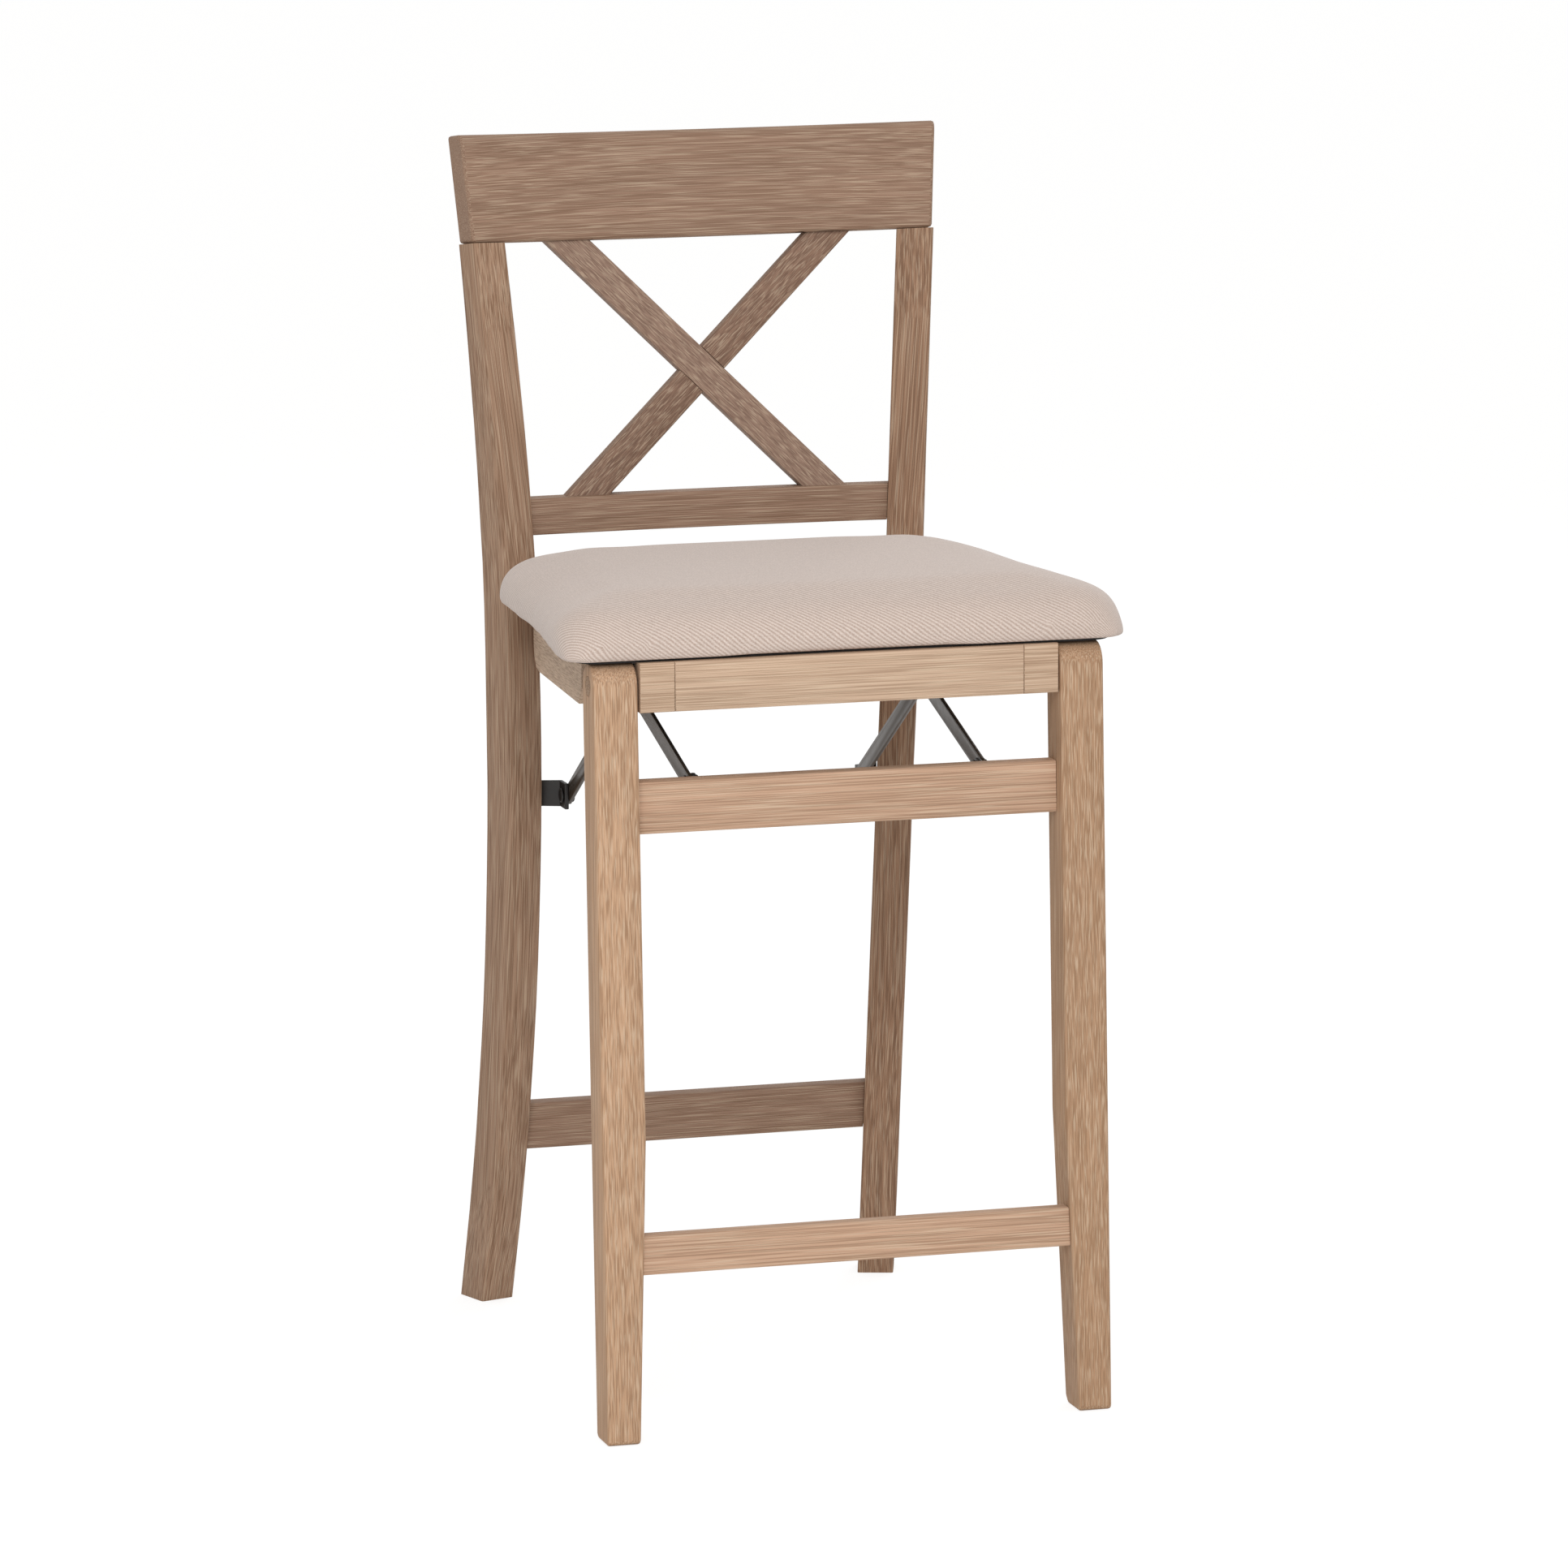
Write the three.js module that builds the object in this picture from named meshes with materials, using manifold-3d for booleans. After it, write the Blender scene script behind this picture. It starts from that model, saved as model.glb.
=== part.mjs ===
// A folding counter stool with a crossed back: wooden frames, steel stays and an upholstered seat.
// Millimetres, +Z up, the floor at Z = 0. The front faces -Y, and -X is the left side seen from the front.
// While it is built, Y = 0 is the axis of the front hinge. At the end the stool is centred on its footprint.
// Folding: the front of the seat lifts, and the front legs stay upright and fold back under it.
import * as THREE from "three";
import { mergeVertices } from "three/addons/utils/BufferGeometryUtils.js";
import Module from "manifold-3d";

const wasm = await Module();
wasm.setup();

// Gaps that the whole stool shares
const joinGap = 0.3; // between pieces that are glued, screwed or laid on each other
const runGap = 0.3; // round a pin that turns, and beside plates that turn on each other
const overrun = 5; // how far a cutter runs past what it cuts
const roundSides = 24; // sides of a turned piece

// Front frame: two legs and two rails, hinged to the seat near the top of the legs
const frontSpan = 385; // across the outer faces of the legs
const legWidth = 33; // along X
const legDepth = 33; // along Y, also the diameter of the half-round top
const legFootWidth = 25; // the inner face tapers down to this
const legTaperHeight = 223; // where the taper starts
const legRakeDepth = 23; // how far the foot stands in front of the hinge
const legFootChamfer = 3;
const hingeHeight = 554;
const upperRailDropHeight = 71; // from the hinge down to its top
const upperRailHeight = 38;
const upperRailThickness = 15.4;
const upperRailSetback = 13; // behind the front faces of the legs
const footRailTop = 153;
const footRailHeight = 28.7;
const footRailThickness = 13;
const footRailSetback = 3.3;
const railTenonDepth = 17; // into a leg or post
const railTenonShoulder = 4; // how much smaller a tenon is than its rail, on each side

// Rear frame: two sabre-curved posts that are turned in towards the sitter
const backRiseHeight = 282.5; // from the front hinge up to the underside of the crest rail
const postWidth = 28.2; // across its front face
const postDepthFoot = 32.7;
const postDepthSeat = 35.8;
const postDepthTop = 22.7;
const postTurn = THREE.MathUtils.degToRad(18); // how far each front face is turned inwards
const postInsetWidth = 32.5; // outer front corner inside the outer faces of the front legs
const postFootFlareWidth = 7.5; // how far a foot stands out from there
const postTopSplayWidth = 21.5; // how far the top leans out from there
const postSetback = 346.2; // outer front corner behind the front hinge, at seat height
const postKickDepth = 90; // how far the foot runs back from there
const postReclineDepth = 22.8; // how far the top leans back from there
// Each row: height, then how much of the kick, recline, flare and splay the post has there
const postPathShares = [
  [0, 1, 0, 1, 0],
  [0.1, 0.743, 0, 0.55, 0],
  [0.2, 0.53, 0, 0.21, 0],
  [0.335, 0.294, 0, 0, 0],
  [0.502, 0.099, 0, 0, 0.02],
  [0.669, 0, 0, 0, 0.21],
  [0.778, 0, 0.167, 0, 0.41],
  [0.891, 0, 0.526, 0, 0.69],
  [1, 0, 1, 0, 1],
];
const postDepthSeatShare = 0.55; // height at which the post is deepest
const postSteps = 24;

// Rails between the posts; a setback is behind the inner front corner of the post
const lowRailTop = 160;
const lowRailHeight = 36;
const lowRailThickness = 16;
const lowRailSetback = 8;
const backRailRiseHeight = 26.1; // from the top of the cushion up to its top
const backRailHeight = 28;
const backRailThickness = 17;
const backRailSetback = 4;
const backRailBowDepth = 6; // how far the middle stands behind the ends
const seatRailRiseHeight = 26.5; // its top over the level arm of the pivot bracket
const seatRailHeight = 36;
const seatRailThickness = 20;
const seatRailSetback = 3;
const bentRailSteps = 12;

// Crest rail: a bowed board on the post tops, tilted back
const crestHeight = 82;
const crestThickness = 24;
const crestFlareWidth = 6; // how far each end leans out from the bottom edge to the top edge
const crestBowDepth = 20;
const crestTilt = THREE.MathUtils.degToRad(8);
const crestSetback = 3; // behind the outer front corners of the posts
const crestSteps = 20;
const crestDowelRadius = 5;
const crestDowelDepth = 22; // into the crest rail, and as far into the post

// Cross slats between the back rail and the crest rail, half-lapped where they cross
const slatWidth = 24.5;
const slatThickness = 13;
const slatFootInsetWidth = 58; // middle of a slat's lower end inside the outer corner of the post
const slatHeadInsetWidth = 67.5; // the same at its upper end
const slatStubLength = 8; // how far an end runs into its rail
const slatCoverThickness = 5; // wood left in front of a slat's lower end in the back rail

// Seat frame
const frontRailHeight = 36.2;
const frontRailThickness = 20;
const blockWidth = 26; // the blocks at both ends of the front rail, which carry the front hinges
const blockLength = 70;
const hingeSideGap = 1.6; // between leg and block, filled by the washer
const sideRailLength = 188;
const sideRailRearGap = 8.2; // in front of the posts
const sideRailHeight = 57;
const sideRailWidth = 32.9;
const sideRailRearWidth = 21;
const sideRailNoseCut = 14; // slope under its front end
const sideRailTailRadius = 20; // rounding under its rear end

// Seat board, dust cover and cushion
const legTopClearance = 1; // between the leg tops and the dust cover
const dustCoverThickness = 1.2;
const boardThickness = 12;
const cushionThickness = 41.5;
const cushionSideOverhang = 24.5; // past the outer faces of the front legs
const cushionTaperWidth = 32; // how much narrower it is at the back, on each side
const cushionFrontOverhang = 21; // in front of the front hinge
const cushionRearGap = 39.2; // in front of the posts
const cushionFrontRadius = 42;
const cushionRearRadius = 48;
const leastCornerShare = 0.3; // of a corner's radius that is left far inside the edge
const cushionRollWidth = 40.5; // how far its rounded edge reaches in
const cushionDrawInDepth = 4; // how far each side is drawn in between its corners
const cushionCrownShare = 0.42; // of the half length, where the crown flattens out
const boardInset = 18; // inside the cushion's edge
const dustCoverInset = 9;
const dustCornerShare = 0.5; // its corners are tighter, like the bottom edge of the cushion
const seatCornerSteps = 8;
const seatSideSteps = 8;
// Each row: distance in from the edge, height and corner radius, as shares of the roll, thickness and radius
const cushionEdgeShares = [
  [0.12, 0, 0.45],
  [0.04, 0.11, 0.55],
  [0, 0.34, 0.8],
  [0.04, 0.54, 0.95],
  [0.14, 0.7, 1],
  [0.33, 0.84, 1],
  [0.6, 0.92, 1],
  [1, 0.965, 1],
];

// Front hinge: a bolt through leg, washer and block, its head under a wooden plug
const hingeBoltRadius = 4;
const hingeHeadRadius = 7;
const hingeHeadThickness = 5;
const plugRadius = 7.2;
const plugThickness = 6;
const washerRadius = 10;
const nutRadius = 7;
const nutThickness = 6;

// Seat pivot: a bracket on the rear seat rail and a bolt into the seat's side rail
const seatPivotGapDepth = 56.2; // in front of the posts
const seatPivotRiseHeight = 3; // above the front hinge
const plateThickness = 3;
const pivotArmWidth = 17;
const pivotArmRunLength = 16; // how far its sloping part runs back
const pivotArmGap = 6; // below the lowest sweep of the cushion's rear edge
const pivotFlangeWidth = 28;
const pivotFlangeHeight = 28;
const pivotBoltRadius = 4;
const pivotHeadRadius = 7.5;
const pivotHeadThickness = 2.4;
const pivotBoltBiteLength = 18; // into the side rail

// Stays: flat bars that meet at a knee under the seat
const stayWidth = 13.5;
const stayThickness = 3;
const staySideGap = 2.6; // between a rear stay and the head of the pivot bolt
const rivetRadius = 3;
const rivetHeadRadius = 5.5;
const rivetHeadThickness = 2;
const kneeAlongShare = 0.45958; // how far back it lies, from the rail pin to the post pin
const kneeDropHeight = 33.5; // below the front hinge
const kneePlayGap = 3.4; // the front stay's hole round the knee rivet, to let the knee pass its dead point
const kneeEyeRadius = 10;
const kneeHeadRadius = 8;
const postPinOffsetDepth = 9.8; // where the rear stay turns, behind the outer front corner of the post
const postPinDropHeight = 142; // below the front hinge
const railPinDepth = 22; // where the front stay turns, behind the front hinge
const railPinDropHeight = 7; // below the top of the upper rail
const postBracketHeight = 20;
const postBracketFlange = 26;
const railBracketHeight = 18;
const railBracketFlange = 24;
const bracketEyeRadius = 7;

// Screws
const screwRadius = 1.8;
const screwLength = 13;
const screwHeadRadius = 3.8;
const screwHeadThickness = 1.8;
const screwEdge = 5; // from the edge of a flange to a screw
const screwSpacing = 9; // between screws that are side by side

// Materials
const oak = new THREE.MeshStandardMaterial({ color: 0xb09478, roughness: 0.75 });
const oakPost = new THREE.MeshStandardMaterial({ color: 0x9d8068, roughness: 0.75 });
const linen = new THREE.MeshStandardMaterial({ color: 0xcbb8a8, roughness: 0.95 });
const blackCloth = new THREE.MeshStandardMaterial({ color: 0x1c1a1a, roughness: 0.95 });
const plywood = new THREE.MeshStandardMaterial({ color: 0xc8a878, roughness: 0.8 });
const darkSteel = new THREE.MeshStandardMaterial({ color: 0x4a4a4c, roughness: 0.45, metalness: 0.8 });
const brightSteel = new THREE.MeshStandardMaterial({ color: 0x9a9a9c, roughness: 0.4, metalness: 0.9 });
const nylon = new THREE.MeshStandardMaterial({ color: 0xe8e6e0, roughness: 0.5 });

// Places that more than one piece needs
const legTop = hingeHeight + legDepth / 2;
const legInner = frontSpan / 2 - legWidth; // from the middle of the stool to a leg's inner face
const dustCoverLow = legTop + legTopClearance;
const seatFrameTop = dustCoverLow - joinGap;
const boardLow = dustCoverLow + dustCoverThickness + joinGap;
const boardTop = boardLow + boardThickness;
const cushionFront = -cushionFrontOverhang;
const cushionRear = postSetback - cushionRearGap;
const cushionLength = cushionRear - cushionFront;
const cushionFrontWidth = frontSpan + 2 * cushionSideOverhang;
const cushionRearWidth = cushionFrontWidth - 2 * cushionTaperWidth;
const upperRailTop = hingeHeight - upperRailDropHeight;
const postHeight = hingeHeight + backRiseHeight;
const postHalfSpan = frontSpan / 2 - postInsetWidth; // outer front corner, where the posts are closest
const backRailTop = boardLow + cushionThickness + backRailRiseHeight;
const crestHalfBottom = postHalfSpan + postTopSplayWidth;
const crestHalfTop = crestHalfBottom + crestFlareWidth;
const slatHalfBottom = postHalfSpan - slatFootInsetWidth;
const slatHalfTop = crestHalfBottom - slatHeadInsetWidth;
const blockOuter = legInner - hingeSideGap;
const sideRailInner = blockOuter - sideRailWidth;
const sideRailEnd = postSetback - sideRailRearGap;
const sideRailStart = sideRailEnd - sideRailLength;
const seatPivotBehind = postSetback - seatPivotGapDepth;
const seatPivotHeight = hingeHeight + seatPivotRiseHeight;
const pivotArmHalf = pivotArmWidth / 2;
const pivotArmLevel = seatPivotHeight - (cushionRear - seatPivotBehind) - pivotArmGap - pivotArmHalf;
const seatRailTop = pivotArmLevel + seatRailRiseHeight;
const pivotHeadReach = joinGap + plateThickness + runGap + pivotHeadThickness;
const rearStayOuter = sideRailInner - pivotHeadReach - staySideGap;
const postPinBehind = postSetback + postPinOffsetDepth;
const postPinHeight = hingeHeight - postPinDropHeight;
const railPinHeight = upperRailTop - railPinDropHeight;
const kneeBehind = railPinDepth + kneeAlongShare * (postPinBehind - railPinDepth);
const kneeHeight = hingeHeight - kneeDropHeight;

// Geometry helpers

// Keeps only positions, shares equal corners and turns the faces outwards
function tidy(geometry) {
  const bare = geometry.clone();
  bare.deleteAttribute("normal");
  bare.deleteAttribute("uv");
  const merged = mergeVertices(bare, 1e-4);
  const corner = merged.getAttribute("position");
  const index = merged.getIndex().array;
  const [a, b, c] = [new THREE.Vector3(), new THREE.Vector3(), new THREE.Vector3()];
  let volume = 0;
  for (let i = 0; i < index.length; i += 3) {
    a.fromBufferAttribute(corner, index[i]);
    b.fromBufferAttribute(corner, index[i + 1]);
    c.fromBufferAttribute(corner, index[i + 2]);
    volume += a.dot(b.cross(c));
  }
  if (volume < 0) flipFaces(merged);
  return merged;
}

function flipFaces(geometry) {
  const index = geometry.getIndex().array;
  for (let i = 0; i < index.length; i += 3) {
    [index[i], index[i + 1]] = [index[i + 1], index[i]];
  }
}

function toSolid(geometry) {
  const clean = tidy(geometry);
  const vertProperties = new Float32Array(clean.getAttribute("position").array);
  const triVerts = new Uint32Array(clean.getIndex().array);
  return new wasm.Manifold(new wasm.Mesh({ numProp: 3, vertProperties, triVerts }));
}

function fromSolid(solid) {
  const mesh = solid.getMesh();
  const geometry = new THREE.BufferGeometry();
  geometry.setAttribute("position", new THREE.BufferAttribute(new Float32Array(mesh.vertProperties), 3));
  geometry.setIndex(new THREE.BufferAttribute(new Uint32Array(mesh.triVerts), 1));
  return geometry;
}

function cut(geometry, ...cutters) {
  return fromSolid(cutters.reduce((solid, cutter) => solid.subtract(toSolid(cutter)), toSolid(geometry)));
}

function join(geometry, ...others) {
  return fromSolid(others.reduce((solid, other) => solid.add(toSolid(other)), toSolid(geometry)));
}

function mirrored(geometry) {
  const copy = tidy(geometry);
  copy.scale(-1, 1, 1);
  flipFaces(copy);
  return copy;
}

function box(x0, x1, y0, y1, z0, z1) {
  const geometry = new THREE.BoxGeometry(x1 - x0, y1 - y0, z1 - z0);
  return geometry.translate((x0 + x1) / 2, (y0 + y1) / 2, (z0 + z1) / 2);
}

// Rings of points, all anticlockwise seen from the way that they go, closed with a fan at both ends
function loft(rings) {
  const count = rings[0].length;
  const points = rings.flat();
  const middle = (ring) => [0, 1, 2].map((k) => ring.reduce((sum, p) => sum + p[k], 0) / ring.length);
  points.push(middle(rings[0]), middle(rings[rings.length - 1]));
  const faces = [];
  for (let i = 0; i < count; i++) {
    const next = (i + 1) % count;
    for (let r = 0; r + 1 < rings.length; r++) {
      const [a, b, c, d] = [r * count + i, r * count + next, (r + 1) * count + next, (r + 1) * count + i];
      faces.push(a, b, c, a, c, d);
    }
    const last = (rings.length - 1) * count;
    faces.push(points.length - 2, next, i, points.length - 1, last + i, last + next);
  }
  const geometry = new THREE.BufferGeometry();
  geometry.setAttribute("position", new THREE.Float32BufferAttribute(points.flat(), 3));
  geometry.setIndex(faces);
  return geometry;
}

// A side view in Y and Z, given thickness along X
function sidePlate(shape, x0, x1, curveSegments = 12) {
  const geometry = new THREE.ExtrudeGeometry(shape, { depth: x1 - x0, bevelEnabled: false, curveSegments });
  const turn = new THREE.Matrix4().set(0, 0, 1, x0, 1, 0, 0, 0, 0, 1, 0, 0, 0, 0, 0, 1);
  return geometry.applyMatrix4(turn);
}

// A plan view in X and Y, given height along Z
function planPlate(shape, z0, z1) {
  const depth = z1 - z0;
  const geometry = new THREE.ExtrudeGeometry(shape, { depth, bevelEnabled: false, curveSegments: 8 });
  return geometry.translate(0, 0, z0);
}

function outline(points) {
  return new THREE.Shape(points.map(([u, v]) => new THREE.Vector2(u, v)));
}

function rodAlongX(radius, x0, x1, y, z) {
  const geometry = new THREE.CylinderGeometry(radius, radius, x1 - x0, roundSides);
  return geometry.rotateZ(Math.PI / 2).translate((x0 + x1) / 2, y, z);
}

// Turned about the X axis: each pair is a distance along X and a radius
function turnedAlongX(pairs, y, z) {
  const profile = pairs.map(([along, radius]) => new THREE.Vector2(radius, along));
  return tidy(new THREE.LatheGeometry(profile, roundSides).rotateZ(-Math.PI / 2).translate(0, y, z));
}

const stool = new THREE.Group();

function add(name, geometry, material) {
  const mesh = new THREE.Mesh(tidy(geometry), material);
  mesh.name = name;
  stool.add(mesh);
  return mesh;
}

// Adds a left piece and its mirror image on the right
function addPair(name, geometry, material) {
  add(name + "_left", geometry, material);
  add(name + "_right", mirrored(geometry), material);
}

// Front legs

// Where the middle of a leg lies at a height, because the leg leans
const legLineY = (z) => -legRakeDepth * (1 - z / hingeHeight);

// The left leg; grow moves its inner face towards the middle
function frontLeg(grow) {
  const lean = Math.atan2(legRakeDepth, hingeHeight);
  const radius = legDepth / 2;
  const foot = radius / Math.cos(lean);
  const shape = new THREE.Shape();
  shape.moveTo(legLineY(0) - foot + legFootChamfer, 0);
  shape.lineTo(legLineY(0) + foot - legFootChamfer, 0);
  shape.lineTo(legLineY(legFootChamfer) + foot, legFootChamfer);
  shape.absarc(0, hingeHeight, radius, -lean, Math.PI - lean, false);
  shape.lineTo(legLineY(legFootChamfer) - foot, legFootChamfer);
  const inner = -legInner + grow;
  const blank = sidePlate(shape, -frontSpan / 2, inner);
  const taper = (legWidth - legFootWidth) * (1 + overrun / legTaperHeight);
  const wedge = outline([
    [inner, legTaperHeight],
    [inner - taper, -overrun],
    [inner + overrun, -overrun],
    [inner + overrun, legTaperHeight],
  ]);
  const depth = legDepth + legRakeDepth + overrun;
  const cutter = new THREE.ExtrudeGeometry(wedge, { depth: 2 * depth, bevelEnabled: false });
  return cut(blank, cutter.rotateX(Math.PI / 2).translate(0, depth, 0));
}

// A rail between the legs follows their lean; inset makes it smaller all round, for its tenon
function legRail(top, height, thickness, setback, halfLength, inset) {
  const low = top - height + inset;
  const high = top - inset;
  const front = -legDepth / 2 + setback + inset;
  const back = -legDepth / 2 + setback + thickness - inset;
  const shape = outline([
    [legLineY(low) + front, low],
    [legLineY(low) + back, low],
    [legLineY(high) + back, high],
    [legLineY(high) + front, high],
  ]);
  return sidePlate(shape, -halfLength, halfLength);
}

// A rail with shoulders against its uprights and a tenon into each
function tenonedRail(railAt, reach, inset, uprights) {
  return join(cut(railAt(reach, 0), ...uprights), railAt(reach, inset));
}

const legTenonReach = legInner + railTenonDepth;
const upperRailAt = (reach, inset) =>
  legRail(upperRailTop, upperRailHeight, upperRailThickness, upperRailSetback, reach, inset);
const footRailAt = (reach, inset) =>
  legRail(footRailTop, footRailHeight, footRailThickness, footRailSetback, reach, inset);
const legShoulders = [frontLeg(joinGap), mirrored(frontLeg(joinGap))];
const mortiseReach = legTenonReach + joinGap;
const mortiseInset = railTenonShoulder - joinGap;

const boltHeadOut = frontSpan / 2 - plugThickness - joinGap; // outer end of the hinge bolt
const boltHeadIn = boltHeadOut - hingeHeadThickness;
const counterboreIn = boltHeadIn - joinGap;
const legHoles = [
  rodAlongX(plugRadius + joinGap, -frontSpan / 2 - overrun, -boltHeadOut + joinGap, 0, hingeHeight),
  rodAlongX(hingeHeadRadius + runGap, -boltHeadOut - overrun, -counterboreIn, 0, hingeHeight),
  rodAlongX(hingeBoltRadius + runGap, -frontSpan / 2, -legInner + overrun, 0, hingeHeight),
];
const leftLeg = cut(
  frontLeg(0),
  upperRailAt(mortiseReach, mortiseInset),
  footRailAt(mortiseReach, mortiseInset),
  ...legHoles,
);
addPair("front_leg", leftLeg, oak);
addPair("hinge_plug", rodAlongX(plugRadius, -frontSpan / 2, -boltHeadOut - joinGap, 0, hingeHeight), oak);

// Screws: a head that sits on a flange and a shank in wood; drilled gives the cutter for its hole
function screwAt(x, y, z, turnAboutZ, drilled) {
  const gap = drilled ? joinGap : 0;
  const profile = [
    [0, -screwLength - gap],
    [screwRadius + gap, -screwLength - gap],
    [screwRadius + gap, 0],
    [drilled ? screwRadius + gap : screwHeadRadius, 0],
    [drilled ? screwRadius + gap : screwHeadRadius, drilled ? overrun : screwHeadThickness],
    [0, drilled ? overrun : screwHeadThickness],
  ];
  const points = profile.map(([radius, along]) => new THREE.Vector2(radius, along));
  const geometry = new THREE.LatheGeometry(points, 12).rotateZ(turnAboutZ);
  return tidy(geometry.translate(x, y, z));
}

// Upper rail, its stay brackets and their screws
const frontStayOuter = rearStayOuter - stayThickness - runGap;
const railArmOuter = frontStayOuter - stayThickness - runGap; // the bracket stands inside the stay
const railArmInner = railArmOuter - plateThickness;
const railFlangeInner = railArmInner - railBracketFlange + plateThickness;
const upperRailBack = legLineY(railPinHeight) - legDepth / 2 + upperRailSetback + upperRailThickness;
const railBracketLow = railPinHeight - railBracketHeight / 2 - railTenonShoulder;
const railBracketHigh = railBracketLow + railBracketHeight;
const railLean = Math.abs(legLineY(railBracketHigh) - legLineY(railBracketLow));
const railFlangeFront = upperRailBack + railLean + joinGap;
const railFlangeBack = railFlangeFront + plateThickness;

function railBracket() {
  const flange = box(
    -railArmOuter, -railFlangeInner, railFlangeFront, railFlangeBack, railBracketLow, railBracketHigh);
  const arm = new THREE.Shape();
  arm.moveTo(railFlangeFront, railBracketLow);
  arm.lineTo(railPinDepth, railPinHeight - bracketEyeRadius);
  arm.absarc(railPinDepth, railPinHeight, bracketEyeRadius, -Math.PI / 2, Math.PI / 2, false);
  arm.lineTo(railFlangeFront, railBracketHigh);
  return join(flange, sidePlate(arm, -railArmOuter, -railArmInner));
}

const railScrewZ = (railBracketLow + railBracketHigh) / 2;
const railScrewXs = [railFlangeInner + screwEdge, railFlangeInner + screwEdge + screwSpacing];
const railScrews = railScrewXs.map((x) => [-x, railFlangeBack + joinGap, railScrewZ]);
const towardsBack = (geometry, x, y, z) =>
  geometry.translate(-x, -y, -z).rotateX(Math.PI).translate(x, y, z);
const railScrew = ([x, y, z], drilled) => towardsBack(screwAlongY(x, y, z, drilled), x, y, z);

// A screw whose head faces the front
function screwAlongY(x, y, z, drilled) {
  return screwAt(0, 0, 0, Math.PI, drilled).translate(x, y, z);
}

const railDrills = railScrews.map((at) => railScrew(at, true));
const upperRail = tenonedRail(upperRailAt, legTenonReach, railTenonShoulder, legShoulders);
add("upper_rail", cut(upperRail, ...railDrills, ...railDrills.map(mirrored)), oak);
add("foot_rail", tenonedRail(footRailAt, legTenonReach, railTenonShoulder, legShoulders), oak);

const railPinHole = rodAlongX(
  rivetRadius + runGap, -railArmOuter - overrun, -railArmInner + overrun, railPinDepth, railPinHeight);
addPair("upper_rail_bracket", cut(railBracket(), railPinHole, ...railDrills), darkSteel);
railScrews.forEach((at, i) => addPair("upper_rail_screw_" + (i + 1), railScrew(at, false), brightSteel));

// Rear posts

const postCurve = (column) => {
  const points = postPathShares.map((row) => new THREE.Vector3(row[0], row[column], 0));
  return new THREE.CatmullRomCurve3(points, false, "centripetal");
};
const postPath = [1, 2, 3, 4].map(postCurve);

// Share of kick, recline, flare or splay at a share of the height
function postShare(column, heightShare) {
  const samples = postPath[column].getPoints(postSteps * 8);
  const above = samples.findIndex((p) => p.x >= heightShare);
  if (above <= 0) return above === 0 ? samples[0].y : samples[samples.length - 1].y;
  const [p, q] = [samples[above - 1], samples[above]];
  return p.y + ((q.y - p.y) * (heightShare - p.x)) / (q.x - p.x);
}

// Corners of the left post at a height: outer front, inner front, inner rear, outer rear
function postCorners(z, grow = 0) {
  const share = z / postHeight;
  const [kick, recline, flare, splay] = [0, 1, 2, 3].map((column) => postShare(column, share));
  const x = -postHalfSpan - flare * postFootFlareWidth - splay * postTopSplayWidth;
  const y = postSetback + kick * postKickDepth + recline * postReclineDepth;
  const lower = postDepthFoot + (postDepthSeat - postDepthFoot) * Math.min(share / postDepthSeatShare, 1);
  const upper = Math.max((share - postDepthSeatShare) / (1 - postDepthSeatShare), 0);
  const depth = lower + (postDepthTop - postDepthSeat) * upper ** 1.5;
  const [across, back] = [new THREE.Vector2(Math.cos(postTurn), Math.sin(postTurn)), new THREE.Vector2()];
  back.set(-across.y, across.x);
  const corner = (u, v) => [x + across.x * u + back.x * v, y + across.y * u + back.y * v, z];
  const width = postWidth + grow;
  return [corner(0, -grow), corner(width, -grow), corner(width, depth + grow), corner(0, depth + grow)];
}

// Underside of the crest rail, which slopes down to the back
const crestFootY = postSetback + postReclineDepth + crestSetback;
const crestUndersideZ = (y) => postHeight - (y - crestFootY) * Math.tan(crestTilt);

function rearPost(grow) {
  const rings = [];
  for (let i = 0; i < postSteps; i++) rings.push(postCorners((postHeight * i) / postSteps, grow));
  rings.push(postCorners(postHeight, grow).map(([x, y]) => [x, y, crestUndersideZ(y) - joinGap]));
  return loft(rings);
}

const postInnerFront = (z) => {
  const [x, y] = postCorners(z)[1];
  return { x: -x, y };
};

// A rail between the posts, straight or bowed back in the middle
function postRail(top, height, thickness, setback, bow, steps) {
  const middle = top - height / 2;
  const inner = postInnerFront(middle);
  return (reach, inset) => {
    const rings = [];
    for (let i = 0; i <= steps; i++) {
      const x = reach * ((2 * i) / steps - 1);
      const front = inner.y + setback + bow * (1 - (x / reach) ** 2);
      const [y0, y1] = [front + inset, front + thickness - inset];
      const [z0, z1] = [top - height + inset, top - inset];
      rings.push([[x, y0, z0], [x, y1, z0], [x, y1, z1], [x, y0, z1]]);
    }
    return loft(rings);
  };
}

const postRailReach = (top, height) => postInnerFront(top - height / 2).x + railTenonDepth;
const lowRailAt = postRail(lowRailTop, lowRailHeight, lowRailThickness, lowRailSetback, 0, 1);
const lowRailReach = postRailReach(lowRailTop, lowRailHeight);
const backRailAt = postRail(
  backRailTop, backRailHeight, backRailThickness, backRailSetback, backRailBowDepth, bentRailSteps);
const backRailReach = postRailReach(backRailTop, backRailHeight);
const seatRailAt = postRail(seatRailTop, seatRailHeight, seatRailThickness, seatRailSetback, 0, 1);
const seatRailReach = postRailReach(seatRailTop, seatRailHeight);
const postShoulders = [rearPost(joinGap), mirrored(rearPost(joinGap))];

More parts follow.
